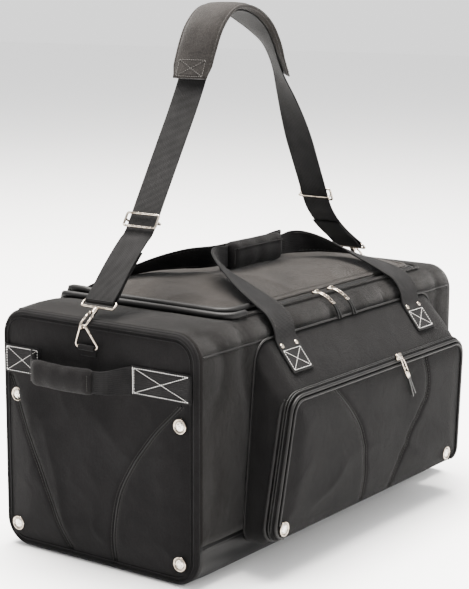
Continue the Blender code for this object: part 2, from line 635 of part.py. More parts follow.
def adjuster(name, at, along, normal):
    """A wire frame across the strap's outer face with a bar behind it, so the strap runs through."""
    across = Vector((0, 1, 0))
    half, stand = ADJUSTER_HALF, ADJUSTER_STAND
    frame = [at + across * y + along * t + normal * stand
             for y, t in rounded(rectangle(half, ADJUSTER_REACH), [0.003] * 4, 3)]
    bar = [at + across * y + normal * n for y, n in
           ((-half, stand), (-half, -stand + 0.001), (-half + 0.001, -stand),
            (half - 0.001, -stand), (half, -stand + 0.001), (half, stand))]
    first = wire(name + "_frame", "nickel", frame, HOOK_WIRE, closed=True)
    second = wire(name + "_bar", "nickel", bar, HOOK_WIRE)
    union(name, "nickel", first, second)


def make_strap():
    path = smooth_path(STRAP_ROUTE, 0.011, 2)
    eyes = {}
    for side in (-1, 1):
        foot, down, _ = hook_frame(side)
        eyes[side] = foot - down * EYE_NEAR
    centre = folded_end(path, eyes[-1], True)
    start = len(centre)
    centre += [strap_point(path, i) for i in range(len(path))]
    end = len(centre)
    centre += folded_end(path, eyes[1], False)
    across = [(0, 1, 0)] * start + [turn_frame(path, i)[1] for i in range(len(path))]
    across += [(0, 1, 0)] * (len(centre) - end)
    ribbon("strap_webbing", "webbing", centre, across, [WEBBING] * len(centre), WEB_THICK)

    lift = WEB_THICK / 2 + GAP + PAD_THICK / 2 + 0.0002
    ends = [Vector(STRAP_ROUTE[k][:2]) for k in PAD_ENDS]
    near = [min(range(len(path)), key=lambda i: (Vector(path[i][:2]) - end).length) for end in ends]
    covered = range(near[0], near[1] + 1)
    ribbon("shoulder_pad", "padding", [strap_point(path, i, lift) for i in covered],
           [turn_frame(path, i)[1] for i in covered], [PAD_WIDTH] * len(covered), PAD_THICK)

    for word, foot, top in (("left", LINE_FOOT, LINE_TOP), ("right", RIGHT_FOOT, RIGHT_TOP)):
        along = Vector((top[0] - foot[0], 0, top[1] - foot[1])).normalized()
        at = Vector((foot[0], STRAP_Y, foot[1])) + along * 0.0145
        normal = along.cross(Vector((0, 1, 0)))
        if word == "right":
            normal = -normal
        adjuster("adjuster_" + word, at, along, normal)

    for side, word in ((-1, "left"), (1, "right")):
        make_hook(side, word)


def make_hook(side, word):
    foot, down, out = hook_frame(side)

    def at(u, v, y=0.0):
        return foot + down * u + out * v + Vector((0, y, 0))

    corners = [(-EYE_HALF, -EYE_NEAR), (EYE_HALF, -EYE_NEAR), (EYE_HALF, -EYE_FAR), (-EYE_HALF, -EYE_FAR)]
    wire(word + "_eye", "nickel", [at(u, 0, y) for y, u in rounded(corners, [0.003] * 4, 3)],
         EYE_WIRE, closed=True)
    arc = [math.radians(-90 + 22.5 * k) for k in range(9)]
    body = [at(0.0135, 0.0060), at(0.0105, 0.0042), at(0.0088, 0.0015), at(0.0095, -0.0010),
            at(0.0120, -0.0020), at(0.0230, -0.0020)]
    body += [at(JAW_U + math.cos(a) * JAW_RADIUS, JAW_V + math.sin(a) * JAW_RADIUS) for a in arc]
    body += [at(0.0285, JAW_V + JAW_RADIUS)]
    loop = wire(word + "_hook_loop", "nickel", body, HOOK_WIRE)
    post = wire(word + "_hook_post", "nickel", [at(0.0002, 0), at(0.0098, 0)], 0.0028, rings=3)
    union(word + "_hook", "nickel", loop, post)
    wire(word + "_gate", "nickel", [at(0.0162, 0.0072), at(0.0272, JAW_V + JAW_RADIUS)], 0.0013)


clear_scene()
bag = collection("hockey_equipment_bag")
cutters = collection("cutters")
make_body()
make_lid()
make_pocket()
make_handles()
make_ends()
make_strap()
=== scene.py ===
"""Looks for the hockey equipment bag: sewn cloth, webbing, zips, stitching and plated hardware."""

import math

import bmesh
import bpy
from mathutils import Matrix, Vector, noise


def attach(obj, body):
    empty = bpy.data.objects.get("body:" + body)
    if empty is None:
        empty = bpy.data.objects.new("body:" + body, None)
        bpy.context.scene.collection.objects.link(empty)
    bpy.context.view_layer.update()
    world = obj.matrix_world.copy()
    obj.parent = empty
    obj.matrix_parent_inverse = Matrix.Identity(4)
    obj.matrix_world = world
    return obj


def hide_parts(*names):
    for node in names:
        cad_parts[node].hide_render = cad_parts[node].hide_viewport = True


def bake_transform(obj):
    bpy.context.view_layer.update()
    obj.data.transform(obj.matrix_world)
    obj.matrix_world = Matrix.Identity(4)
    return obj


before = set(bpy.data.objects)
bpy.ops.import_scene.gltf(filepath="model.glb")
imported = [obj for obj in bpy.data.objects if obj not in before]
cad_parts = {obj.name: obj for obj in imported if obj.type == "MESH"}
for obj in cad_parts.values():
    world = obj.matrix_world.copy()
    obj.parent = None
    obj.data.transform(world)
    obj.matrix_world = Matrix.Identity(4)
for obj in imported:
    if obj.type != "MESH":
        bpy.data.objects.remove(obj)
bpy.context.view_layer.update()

# ---- the frame's dimensions, in metres -----------------------------------------------------------
HALF_DEPTH, HEIGHT, CORNER = 0.175, 0.350, 0.040
REACH = 0.3402                     # half length of the body's wall
END_X = 0.3465                     # outer face of an end panel
SEAM_Z, BOTTOM_SEAM_Z = 0.3185, 0.055
BAND_Z = 0.277                     # middle of the webbing bands on the end panels
FITTING_X, HANDLE_SPAN = 0.0215, 0.347
WEBBING, WEB_THICK = 0.050, 0.0024
LID_X, LID_Y, LID_BASE, LID_RISE = (-0.225, 0.285), (-0.1335, 0.150), 0.3505, 0.025
LID_CORNER = 0.022
POCKET_BACK_Y, POCKET_FRONT_Y, FLAP_Y = -0.1756, -0.2285, -0.2368
POCKET_LOW, POCKET_HIGH = 0.055, 0.252
POCKET_BACK = ((-0.243, 0.040), (0.262, 0.040), (0.268, SEAM_Z), (-0.215, SEAM_Z))
POCKET_FRONT = ((-0.262, POCKET_LOW), (0.262, POCKET_LOW), (0.275, POCKET_HIGH), (-0.215, POCKET_HIGH))
POCKET_RADII = (0.020, 0.020, 0.030, 0.030)
STRAP_Y, EYE_WIRE = 0.010, 0.00175
STITCH_WIRE = 0.0004               # radius of a dark topstitch
UP = Vector((0, 0, 1))


# ---- camera --------------------------------------------------------------------------------------
def make_camera():
    data = bpy.data.cameras.new("camera")
    data.lens, data.sensor_width, data.sensor_fit = 99.7, 36, "AUTO"
    cam = bpy.data.objects.new("camera", data)
    bpy.context.scene.collection.objects.link(cam)
    forward = Vector((0.79732, 0.57399, -0.18656)).normalized()
    turn = forward.to_track_quat("-Z", "Y") @ Matrix.Rotation(math.radians(0.17), 3, "Z").to_quaternion()
    cam.matrix_world = Matrix.Translation((-1.9997, -1.4243, 0.7994)) @ turn.to_matrix().to_4x4()
    bpy.context.scene.camera = cam


# ---- materials -----------------------------------------------------------------------------------
class Paint:
    """One Principled material, with short ways to wire nodes into it."""

    def __init__(self, name, roughness, metallic=0.0, sheen=0.0, specular=0.5):
        self.made = bpy.data.materials.new(name)
        self.made.use_nodes = True
        self.nodes, self.link = self.made.node_tree.nodes, self.made.node_tree.links.new
        self.inputs = self.nodes["Principled BSDF"].inputs
        for key, value in (("Roughness", roughness), ("Metallic", metallic), ("Sheen Weight", sheen),
                           ("Sheen Roughness", 0.28), ("Specular IOR Level", specular)):
            self.inputs[key].default_value = value
        self.where = self.node("TexCoord").outputs["Object"]

    def node(self, kind, vector=None, **values):
        made = self.nodes.new("ShaderNode" + kind)
        for key, value in values.items():
            if key in made.inputs:
                made.inputs[key].default_value = value
            else:
                setattr(made, key, value)
        if vector:
            self.link(vector, made.inputs["Vector"])
        return made

    def noise(self, scale, detail, roughness, **values):
        made = self.node("TexNoise", self.where, Scale=scale, Detail=detail, Roughness=roughness, **values)
        return made.outputs["Fac"]

    def cells(self, scale):
        return self.node("TexVoronoi", self.where, Scale=scale).outputs["Distance"]

    def wave(self, vector, direction, period):
        return self.node("TexWave", vector, wave_type="BANDS", bands_direction=direction, wave_profile="SIN",
                         Scale=0.31416 / period).outputs["Fac"]

    def maths(self, operation, a, b):
        made = self.node("Math", operation=operation)
        for socket, value in zip(made.inputs, (a, b)):
            if isinstance(value, (int, float)):
                socket.default_value = value
            else:
                self.link(value, socket)
        return made.outputs[0]

    def blend(self, a, share_a, b, share_b):
        return self.maths("ADD", self.maths("MULTIPLY", a, share_a), self.maths("MULTIPLY", b, share_b))

    def colour(self, fac, dark, light, low=0.3, high=0.7):
        ramp = self.node("ValToRGB")
        for element, position, tint in zip(ramp.color_ramp.elements, (low, high), (dark, light)):
            element.position, element.color = position, (*tint, 1)
        self.link(fac, ramp.inputs["Fac"])
        self.link(ramp.outputs["Color"], self.inputs["Base Color"])

    def bump(self, height, strength, distance):
        """Add relief on top of any that the material already has."""
        made = self.node("Bump", Strength=strength, Distance=distance)
        self.link(height, made.inputs["Height"])
        if self.inputs["Normal"].is_linked:
            self.link(self.inputs["Normal"].links[0].from_socket, made.inputs["Normal"])
        self.link(made.outputs["Normal"], self.inputs["Normal"])


def cloth(name, dark, light, sheen):
    """Woven polyester: a plain weave, faint creasing, and a dusty variation in tone."""
    paint = Paint(name, 0.85, sheen=sheen, specular=0.07)
    tone, speck = paint.noise(14.0, 6.0, 0.62), paint.noise(520.0, 3.0, 0.7)
    facing = paint.node("SeparateXYZ", paint.node("TexCoord").outputs["Normal"])
    threads = None
    for axis in "XYZ":
        # a set of threads shows only on surfaces that it runs along
        shown = paint.maths("MULTIPLY", facing.outputs[axis], facing.outputs[axis])
        shown = paint.maths("MAXIMUM", paint.maths("SUBTRACT", 0.85, shown), 0.0)
        one = paint.maths("MULTIPLY", paint.wave(paint.where, axis, 0.0013), shown)
        threads = paint.maths("ADD", threads, one) if threads else one
    mixed = paint.blend(tone, 0.45, speck, 0.55)
    mixed = paint.maths("ADD", mixed, paint.maths("MULTIPLY", threads, 0.05))
    paint.colour(mixed, dark, light, 0.44, 0.70)
    paint.bump(paint.maths("ADD", threads, speck), 0.8, 0.0004)
    paint.bump(paint.noise(38.0, 4.0, 0.55, Distortion=0.6), 0.7, 0.0015)
    return paint.made


def woven_tape(name, dark, light, rib, cord, relief, sheen):
    """Heavy webbing: ribs across its width and fainter cords along it."""
    paint = Paint(name, 0.72, sheen=sheen, specular=0.09)
    uv = paint.node("UVMap", uv_map="fabric").outputs["UV"]
    cords = paint.maths("MULTIPLY", paint.wave(uv, "Y", cord), 0.6)
    height = paint.maths("ADD", paint.wave(uv, "X", rib), cords)
    paint.colour(paint.blend(paint.noise(45.0, 5.0, 0.6), 0.6, height, 0.22), dark, light, 0.35, 0.75)
    paint.bump(height, 0.8, relief)
    return paint.made


def moulded(name, dark, light, roughness=0.42, grain=420.0):
    """Coated cloth, moulded plastic or thread, with a fine pebble and scuffed tone."""
    paint = Paint(name, roughness, specular=0.14)
    paint.colour(paint.noise(30.0, 6.0, 0.65), dark, light)
    paint.bump(paint.cells(grain), 0.5, 0.0002)
    return paint.made


def plated(name):
    """Nickel plate with faint polishing marks and duller patches."""
    paint = Paint(name, 0.2, metallic=1.0)
    tone = paint.noise(160.0, 4.0, 0.6)
    paint.colour(tone, (0.13, 0.108, 0.086), (0.56, 0.495, 0.415))
    rough = paint.node("MapRange", **{"To Min": 0.10, "To Max": 0.30})
    paint.link(tone, rough.inputs["Value"])
    paint.link(rough.outputs["Result"], paint.inputs["Roughness"])
    return paint.made


def gauze(name):
    """Fine wire mesh: bright wires over dark holes."""
    paint = Paint(name, 0.3, metallic=0.9)
    cells = paint.cells(430.0)
    paint.colour(cells, (0.02, 0.02, 0.02), (0.66, 0.62, 0.56), 0.20, 0.42)
    paint.bump(cells, 0.8, 0.0004)
    return paint.made


# a finish is the record's slot and the material that stands for it
BODY = "body_cloth", cloth("body_cloth", (0.0019, 0.0017, 0.0016), (0.0062, 0.0055, 0.0052), 0.09)
END = "end_cloth", cloth("end_cloth", (0.0021, 0.0020, 0.0021), (0.0068, 0.0064, 0.0067), 0.05)
POCKET = "pocket_cloth", cloth("pocket_cloth", (0.0016, 0.0015, 0.0016), (0.0052, 0.0049, 0.0050), 0.04)
# painted light: the lid is the same black cloth as the body, made about four times lighter to paint in the
# light falling on its top
LID_PAINTED_LIGHT = "lid_cloth", cloth("lid_cloth", (0.0081, 0.0071, 0.0064), (0.0244, 0.0213, 0.0192), 0.16)
# painted light: the shoulder pad is black cloth too, made about four times lighter to paint in the light
# falling on its top
PAD_PAINTED_LIGHT = "pad_cloth", cloth("pad_cloth", (0.0090, 0.0081, 0.0076), (0.0280, 0.0250, 0.0232), 0.14)
GRIP = "grip_padding", cloth("grip_padding", (0.0022, 0.0021, 0.0022), (0.0075, 0.0070, 0.0071), 0.06)
WEB = "webbing", woven_tape("webbing", (0.0014, 0.0014, 0.0015), (0.0092, 0.0088, 0.0092), 0.0018, 0.0028,
                            0.0007, 0.03)
TAPE = "zip_tape", woven_tape("zip_tape", (0.0035, 0.0035, 0.0035), (0.0090, 0.0088, 0.0088), 0.0008, 0.0008,
                              0.0003, 0.4)
TARP = "tarpaulin", moulded("tarpaulin", (0.0013, 0.0013, 0.0014), (0.0040, 0.0039, 0.0040))
CORD = "tarpaulin", moulded("piping", (0.0024, 0.0023, 0.0024), (0.0080, 0.0077, 0.0077), 0.5)
TEETH = "zip_tape", moulded("zip_coil", (0.0020, 0.0020, 0.0020), (0.0075, 0.0073, 0.0072), 0.34)
THONG = "zip_pull", moulded("zip_tab", (0.0016, 0.0016, 0.0016), (0.0050, 0.0050, 0.0050), 0.45)
BOARD = "board", moulded("board", (0.03, 0.03, 0.03), (0.06, 0.06, 0.06), 0.6)
NICKEL = "nickel", plated("nickel")
MESH = "nickel", gauze("vent_mesh")
THREAD = "thread", moulded("thread", (0.50, 0.49, 0.48), (0.78, 0.77, 0.75), 0.7, 1500.0)
GREY_THREAD = "thread", moulded("grey_thread", (0.05, 0.048, 0.045), (0.11, 0.105, 0.10), 0.7, 1500.0)
DARK_THREAD = "thread", moulded("dark_thread", (0.016, 0.0155, 0.015), (0.040, 0.038, 0.036), 0.7, 1500.0)


# ---- making pieces -------------------------------------------------------------------------------
def ease(low, high, x):
    t = max(0.0, min(1.0, (x - low) / (high - low)))
    return t * t * (3 - 2 * t)


def crease(x, y, z, seed=0.0):
    """Ridged noise, 0 to 1, high along soft crease lines."""
    return max(0.0, 1 - 2.4 * abs(noise.noise(Vector((x, y, z + seed))))) ** 2


def piece(name, verts, faces, body, finish, replaced=(), uvs=None):
    """A mesh object that rides on body, or on nothing where body is None."""
    slot, paint = finish
    data = bpy.data.meshes.new(name)
    data.from_pydata([tuple(v) for v in verts], [], faces)
    mesh = bmesh.new()
    mesh.from_mesh(data)
    bmesh.ops.recalc_face_normals(mesh, faces=mesh.faces)
    mesh.to_mesh(data)
    mesh.free()
    if uvs:
        layer = data.uv_layers.new(name="fabric")
        for loop in data.loops:
            layer.data[loop.index].uv = uvs[loop.vertex_index]
    for face in data.polygons:
        face.use_smooth = True
    made = bpy.data.objects.new(name, data)
    bpy.context.scene.collection.objects.link(made)
    data.materials.append(paint)
    if body:
        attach(made, body)
    if replaced:
        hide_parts(*replaced)
    return made


def sheet_mesh(name, rows, thick, body, finish, replaced=(), ring=False, skip=None):
    """A grid of (point, outward normal) given a thickness inward."""
    wide, tall = len(rows[0]), len(rows)
    outer = [p for row in rows for p, n in row]
    inner = [p - n * thick for row in rows for p, n in row]
    count = len(outer)
    faces, used = [], {}
    for i in range(tall - 1):
        for j in range(wide if ring else wide - 1):
            if skip and skip(i, j):
                continue
            a, b = i * wide + j, i * wide + (j + 1) % wide
            c, d = b + wide, a + wide
            faces.append((a, b, c, d))
            faces.append((d + count, c + count, b + count, a + count))
            for edge in ((a, b), (b, c), (c, d), (d, a)):
                used[edge] = True
    for a, b in list(used):
        if (b, a) not in used:
            faces.append((b, a, a + count, b + count))
    return piece(name, outer + inner, faces, body, finish, replaced)


def smooth_path(points, step, places=3):
    """A curve through the points; the first places numbers of each set how finely it is cut."""
    points = [Vector(p) for p in points]
    points = [2 * points[0] - points[1]] + points + [2 * points[-1] - points[-2]]
    path = []
    for p0, p1, p2, p3 in zip(points, points[1:], points[2:], points[3:]):
        count = max(1, round(Vector((p2 - p1)[:places]).length / step))
        for k in range(count):
            t = k / count
            path.append(0.5 * (2 * p1 + (p2 - p0) * t + (2 * p0 - 5 * p1 + 4 * p2 - p3) * t * t
                               + (3 * p1 - p0 - 3 * p2 + p3) * t ** 3))
    path.append(points[-2])
    return path


def straight_path(points, step):
    path = []
    for a, b in zip(points, points[1:]):
        a, b = Vector(a), Vector(b)
        count = max(1, math.ceil((b - a).length / step))
        path += [a.lerp(b, k / count) for k in range(count)]
    return path + [Vector(points[-1])]


def closed_path(points, step):
    return straight_path(points + points[:1], step)[:-1]


def rounded(corners, radii, steps=5):
    outline = []
    count = len(corners)
    for i, corner in enumerate(corners):
        here = Vector(corner)
        before = (Vector(corners[i - 1]) - here).normalized()
        after = (Vector(corners[(i + 1) % count]) - here).normalized()
        half = before.angle(after) / 2
        reach = radii[i] / math.tan(half)
        centre = here + (before + after).normalized() * radii[i] / math.sin(half)
        start, end = here + before * reach - centre, here + after * reach - centre
        turn = start.angle_signed(end)
        for k in range(steps + 1):
            outline.append(centre + Matrix.Rotation(-turn * k / steps, 2) @ start)
    return outline


def rounded_box(half, low, high, radius, steps):
    return rounded([(-half, low), (half, low), (half, high), (-half, high)], [radius] * 4, steps)


def loft(count, loop, closed=False):
    """Faces between count rings of loop points, with two end caps unless the rings close."""
    faces = []
    for i in range(count if closed else count - 1):
        a, c = i * loop, (i + 1) % count * loop
        for k in range(loop):
            after = (k + 1) % loop
            faces.append((a + k, a + after, c + after, c + k))
    if not closed:
        faces += [tuple(range(loop))[::-1], tuple(range((count - 1) * loop, count * loop))]
    return faces


def inflate(made):
    """Blow the closed form up a little as cloth, so that it creases where its skin is held short."""
    voxel, pressure, cap, last_frame = 0.0035, 4.0, 0.0022, 20
    scene = bpy.context.scene
    remesh = made.modifiers.new("skin", "REMESH")
    remesh.mode, remesh.voxel_size, remesh.use_smooth_shade = "VOXEL", voxel, True
    bpy.context.view_layer.update()
    skin = bpy.data.meshes.new_from_object(made.evaluated_get(bpy.context.evaluated_depsgraph_get()))
    made.modifiers.remove(remesh)
    made.data = skin
    start = [v.co.copy() for v in skin.vertices]
    soft = made.modifiers.new("cloth", "CLOTH")
    soft.settings.quality = 5
    soft.settings.mass = 0.15
    soft.settings.use_pressure = True
    soft.settings.uniform_pressure_force = pressure
    soft.settings.tension_stiffness = soft.settings.compression_stiffness = 20
    soft.settings.bending_stiffness = 0.3
    soft.settings.effector_weights.gravity = 0.0
    soft.point_cache.frame_start, soft.point_cache.frame_end = 1, last_frame
    for step in range(1, last_frame + 1):
        scene.frame_set(step)
    blown = made.evaluated_get(bpy.context.evaluated_depsgraph_get()).data
    ends = [v.co.copy() for v in blown.vertices]
    made.modifiers.remove(soft)
    for vert, before, after in zip(skin.vertices, start, ends):
        move = after - before
        if move.length > cap:
            move = move.normalized() * cap
        vert.co = before + move
    for face in skin.polygons:
        face.use_smooth = True
    made.modifiers.new("smooth", "SUBSURF").levels = 1
    made.modifiers["smooth"].render_levels = 1
    scene.frame_set(1)


WEB_PROFILE = ((-1, 0.35), (-0.985, 0.8), (-0.95, 1.0), (-0.86, 0.88), (-0.45, 0.92), (0, 0.94),
               (0.45, 0.92), (0.86, 0.88), (0.95, 1.0), (0.985, 0.8), (1, 0.35))


def band(name, centre, across, widths, thick, body, finish, replaced=(), profile=WEB_PROFILE, swell=None):
    """A strip swept along centre with its width along across; swell scales its thickness along it."""
    verts, uvs, run = [], [], 0.0
    centre, last = [Vector(p) for p in centre], len(centre) - 1
    for i, middle in enumerate(centre):
        if i:
            run += (middle - centre[i - 1]).length
        along = centre[min(i + 1, last)] - centre[max(i - 1, 0)]
        side = Vector(across[i]).normalized()
        out = along.cross(side).normalized()
        amount = thick / 2 * (swell(i / last) if swell else 1)
        for face, order in ((1, profile), (-1, profile[::-1])):
            for c, h in order:
                verts.append(middle + side * c * widths[i] / 2 + out * face * h * amount)
                uvs.append((run, c * widths[i] / 2))
    return piece(name, verts, loft(last + 1, 2 * len(profile)), body, finish, replaced, uvs)


def tube(name, path, radius, body, finish, replaced=(), closed=False, sides=10, tooth=0.0):
    """A round cord or wire; tooth is the pitch of a zip coil's turns."""
    verts, uvs, run = [], [], 0.0
    count = len(path)
    path = [Vector(p) for p in path]
    frame_side = None
    for i, middle in enumerate(path):
        after = path[(i + 1) % count] if closed else path[min(i + 1, count - 1)]
        before = path[i - 1] if closed or i else path[0]
        along = (after - before).normalized()
        if frame_side is None:
            frame_side = along.orthogonal()
        frame_side = (frame_side - along * frame_side.dot(along)).normalized()
        up = along.cross(frame_side)
        if i:
            run += (middle - path[i - 1]).length
        r = radius * (1 - 0.28 * (0.5 + 0.5 * math.cos(math.tau * run / tooth))) if tooth else radius
        for k in range(sides):
            angle = math.tau * k / sides
            verts.append(middle + (frame_side * math.cos(angle) + up * math.sin(angle)) * r)
            uvs.append((run, angle * radius))
    return piece(name, verts, loft(count, sides, closed), body, finish, replaced, uvs)


def turned(centre, out, profile, around):
    """Rings of points about out, one for each (radius, height) of the profile."""
    side = out.orthogonal().normalized()
    up = out.cross(side)
    turns = [math.tau * k / around for k in range(around)]
    return [Vector(centre) + (side * math.cos(a) + up * math.sin(a)) * r + out * h
            for r, h in profile for a in turns]


class Stitching:
    """Separate thread stitches gathered into one piece."""

    def __init__(self):
        self.verts, self.faces = [], []

    def run(self, points, normal, pitch=0.0038, length=0.0028, radius=0.00038):
        path = [Vector(p) for p in points]
        total, spans = 0.0, []
        for a, b in zip(path, path[1:]):
            spans.append((total, a, b))
            total += (b - a).length
        count = max(1, round(total / pitch))
        for k in range(count):
            middle = total * (k + 0.5) / count
            start, a, b = max((s for s in spans if s[0] <= middle), key=lambda s: s[0])
            along = (b - a).normalized()
            self.one(a + along * (middle - start), along, Vector(normal), length, radius)

    def topstitch(self, points, normal, pitch=0.0046, length=0.0031):
        self.run(points, normal, pitch, length, STITCH_WIRE)

    def one(self, at, along, out, length, radius, sides=6):
        side = along.cross(out).normalized()
        base, tip = len(self.verts), len(self.verts) + 2 * sides + 1
        self.verts.append(at - along * length / 2)
        for t in (-0.32, 0.32):
            for k in range(sides):
                angle = math.tau * k / sides
                ring = side * math.cos(angle) + out * math.sin(angle)
                self.verts.append(at + along * length * t + ring * radius + out * radius * 0.3)
        self.verts.append(at + along * length / 2)
        for k in range(sides):
            a, b = base + 1 + k, base + 1 + (k + 1) % sides
            self.faces += [(base, b, a), (a, b, b + sides, a + sides), (a + sides, b + sides, tip)]

    def both_faces(self, line, stand, length, radius=0.00045):
        """One stitch between each two points of a line of (point, normal), on both faces of a strip."""
        for (p, out), (q, _) in zip(line, line[1:]):
            for sign in (-1, 1):
                self.one((p + q) / 2 + out * sign * stand, (q - p).normalized(), out * sign, length, radius)

    def box(self, centre, u, v, half_u, half_v, normal, closed=True):
        c, u, v = Vector(centre), Vector(u).normalized() * half_u, Vector(v).normalized() * half_v
        ring = [c - u - v, c + u - v, c + u + v, c - u + v]
        for a, b in ((0, 1), (1, 2), (2, 3), (0, 2), (1, 3)) + (((3, 0),) if closed else ()):
            self.run([ring[a], ring[b]], normal)

    def make(self, name, body, finish=THREAD):
        return piece(name, self.verts, self.faces, body, finish)


# ---- body ----------------------------------------------------------------------------------------
def section():
    """Stations round the body from the lid's front edge, down the front, under, and up the back."""
    made = []
    centre_y, low, high = HALF_DEPTH - CORNER, CORNER, HEIGHT - CORNER

    def arc(side, z, first, steps):
        for k in range(steps + 1):
            a = math.radians(first + 90 * k / steps)
            ray = Vector((0, math.cos(a), math.sin(a)))
            made.append((Vector((0, side * centre_y, z)) + ray * CORNER, ray))

    def wall(side, start, end):
        for k in range(1, 27):
            z = start + (end - start) * k / 27
            made.append((Vector((0, side * HALF_DEPTH, z)), Vector((0, side, 0))))

    made.append((Vector((0, LID_Y[0] + 0.004, HEIGHT)), UP))
    arc(-1, high, 90, 14)
    wall(-1, high, low)
    arc(-1, low, 180, 10)
    for k in range(1, 14):
        made.append((Vector((0, -centre_y + 2 * centre_y * k / 14, 0)), -UP))
    arc(1, low, 270, 10)
    wall(1, low, high)
    arc(1, high, 0, 14)
    for k in range(25):
        y = LID_Y[1] - 0.003 + (LID_Y[0] + 0.006 - LID_Y[1] + 0.003) * k / 24
        made.append((Vector((0, y, HEIGHT)), UP))
    return made


def body_swell(x, p, n):
    """How far the cloth stands off the body's box, along the outward normal n."""
    edge = ease(REACH + 0.001, REACH - 0.045, abs(x))
    y, z = p.y, p.z
    lift = 0.0
    if n.y > 0.5:
        lift += 0.0075 * ease(0.03, 0.12, z) * ease(0.275, 0.19, z)
        lift += 0.0022 * crease(x * 6, 0.3, z * 13) * ease(0.03, 0.10, z) * ease(0.262, 0.23, z)
    if n.y < -0.5:
        lift -= 0.0034 * crease(x * 13, 0.0, z * 8, 3.0) * ease(0.03, 0.10, z)
    if n.z > 0.2:
        strap = math.exp(-((y - STRAP_Y) / 0.05) ** 2)
        # the cloth lies flat near the lid's zip
        gap = Vector((max(LID_X[0] - x, x - LID_X[1], 0.0), max(LID_Y[0] - y, y - LID_Y[1], 0.0))).length
        clear = ease(0.016, 0.050, gap)
        lift += 0.0062 * ease(0.165, 0.10, abs(y)) * (1 - strap) * ease(0.2, 0.9, n.z) * clear
        lift += 0.0020 * crease(x * 11, y * 15, 0.0, 7.0) * (1 - strap) * ease(0.80, 1.0, n.z) * clear
    if abs(n.y) > 0.1 and z > 0.25:
        lift -= 0.0016 * math.exp(-((z - SEAM_Z) / 0.004) ** 2)
    if 0.02 < z < 0.12:
        lift -= 0.0014 * math.exp(-((z - BOTTOM_SEAM_Z) / 0.004) ** 2)
    return lift * edge - 0.0012 * (1 - edge)


def make_body():
    stations = section()
    xs = [-REACH + 2 * REACH * k / 84 for k in range(85)]
    xs = sorted(set(round(x, 5) for x in xs if abs(x - LID_X[0]) > 0.005 and abs(x - LID_X[1]) > 0.005)
                | {LID_X[0] + 0.004, LID_X[1] - 0.004})
    rows = [[(Vector((x, p.y, p.z)) + n * body_swell(x, p, n), n) for p, n in stations] for x in xs]

    def between(j):
        return (stations[j][0] + stations[(j + 1) % len(stations)][0]) / 2

    def in_mouth(i, j):
        middle, p = (xs[i] + xs[i + 1]) / 2, between(j)
        return p.z > HEIGHT - 0.001 and LID_X[0] < middle < LID_X[1] and LID_Y[0] < p.y < LID_Y[1] - 0.004

    def low(j):
        return between(j).z < BOTTOM_SEAM_Z

    sheet_mesh("body_cloth", rows, 0.0022, "bag", BODY,
               ("front_panel", "back_panel", "front_top_panel", "back_top_panel", "left_top_panel",
                "right_top_panel"), ring=True, skip=lambda i, j: in_mouth(i, j) or low(j))
    sheet_mesh("bottom_cloth", rows, 0.0026, "bag", TARP, ("bottom_panel",), ring=True,
               skip=lambda i, j: not low(j))
    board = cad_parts["base_board"].data
    board.materials.clear()
    board.materials.append(BOARD[1])
    seam = math.asin((SEAM_Z - HEIGHT + CORNER) / CORNER)
    for word, side in (("front", -1), ("back", 1)):
        n = Vector((0, side * math.cos(seam), math.sin(seam)))
        top = Vector((0, side * (HALF_DEPTH - CORNER), HEIGHT - CORNER)) + n * CORNER
        bottom = Vector((0, side * HALF_DEPTH, BOTTOM_SEAM_Z))
        for tag, place, out, radius, shift in (("top", top, n, 0.0013, -0.006),
                                               ("bottom", bottom, Vector((0, side, 0)), 0.0014, 0.006)):
            line = [Vector((x, place.y, place.z)) + out * (body_swell(x, place, out) + 0.0004)
                    for x in xs[1:-1]]
            tube("%s_%s_seam" % (word, tag), line, radius, "bag", CORD, sides=8)
            if tag == "bottom" or word == "back":
                sewn = Stitching()
                sewn.topstitch([q + UP * shift + out * 0.0012 for q in line], out, 0.0050, 0.0034)
                sewn.make("%s_%s_topstitch" % (word, tag), "bag", DARK_THREAD)


# ---- end panels ----------------------------------------------------------------------------------
PANEL_INSET, PANEL_CORNER = 0.0070, 0.034
LEFT_SEAMS = (
    ((0.158, 0.250), (0.098, 0.119), (0.050, 0.016)),
    ((-0.148, 0.252), (-0.106, 0.207), (-0.058, 0.139), (-0.039, 0.091), (-0.031, 0.012)),
)


def flat_curves(lines):
    return [[(p.x, p.y) for p in smooth_path([(a, b, 0) for a, b in line], 0.012)] for line in lines]


def seam_distance(a, b, seams):
    best, here = 1.0, Vector((a, b))
    for line in seams:
        for start, end in zip(line, line[1:]):
            start, end = Vector(start), Vector(end)
            t = max(0.0, min(1.0, (here - start).dot(end - start) / (end - start).length_squared))
            best = min(best, (here - start.lerp(end, t)).length)
    return best


END_SEAMS = flat_curves(LEFT_SEAMS)


def end_x(y, z):
    """Outer face of an end panel: a pillow pulled in along its seams and round its edge."""
    rim = min(0.166 - abs(y), z - 0.009, 0.341 - z)
    pillow = ease(0.0, 0.050, rim)
    bulge = 0.0060 * pillow * ease(0.252, 0.195, z)
    bulge += 0.0020 * crease(y * 9, z * 6, 1.7) * pillow * ease(0.255, 0.21, z)
    bulge += 0.0009 * crease(y * 15, z * 15, 4.2) * pillow
    groove = 0.0030 * math.exp(-(seam_distance(y, z, END_SEAMS) / 0.0048) ** 2) * ease(0.262, 0.245, z)
    return END_X - 0.0016 * (1 - ease(0.0, 0.02, rim)) + bulge - groove


def panel_half_width(z):
    """Half width of the rounded end panel at one height."""
    edge = min(z - PANEL_INSET, HEIGHT - PANEL_INSET - z)
    if edge >= PANEL_CORNER:
        return HALF_DEPTH - PANEL_INSET
    rise = math.sqrt(max(0.0, PANEL_CORNER ** 2 - (PANEL_CORNER - edge) ** 2))
    return HALF_DEPTH - PANEL_INSET - PANEL_CORNER + rise


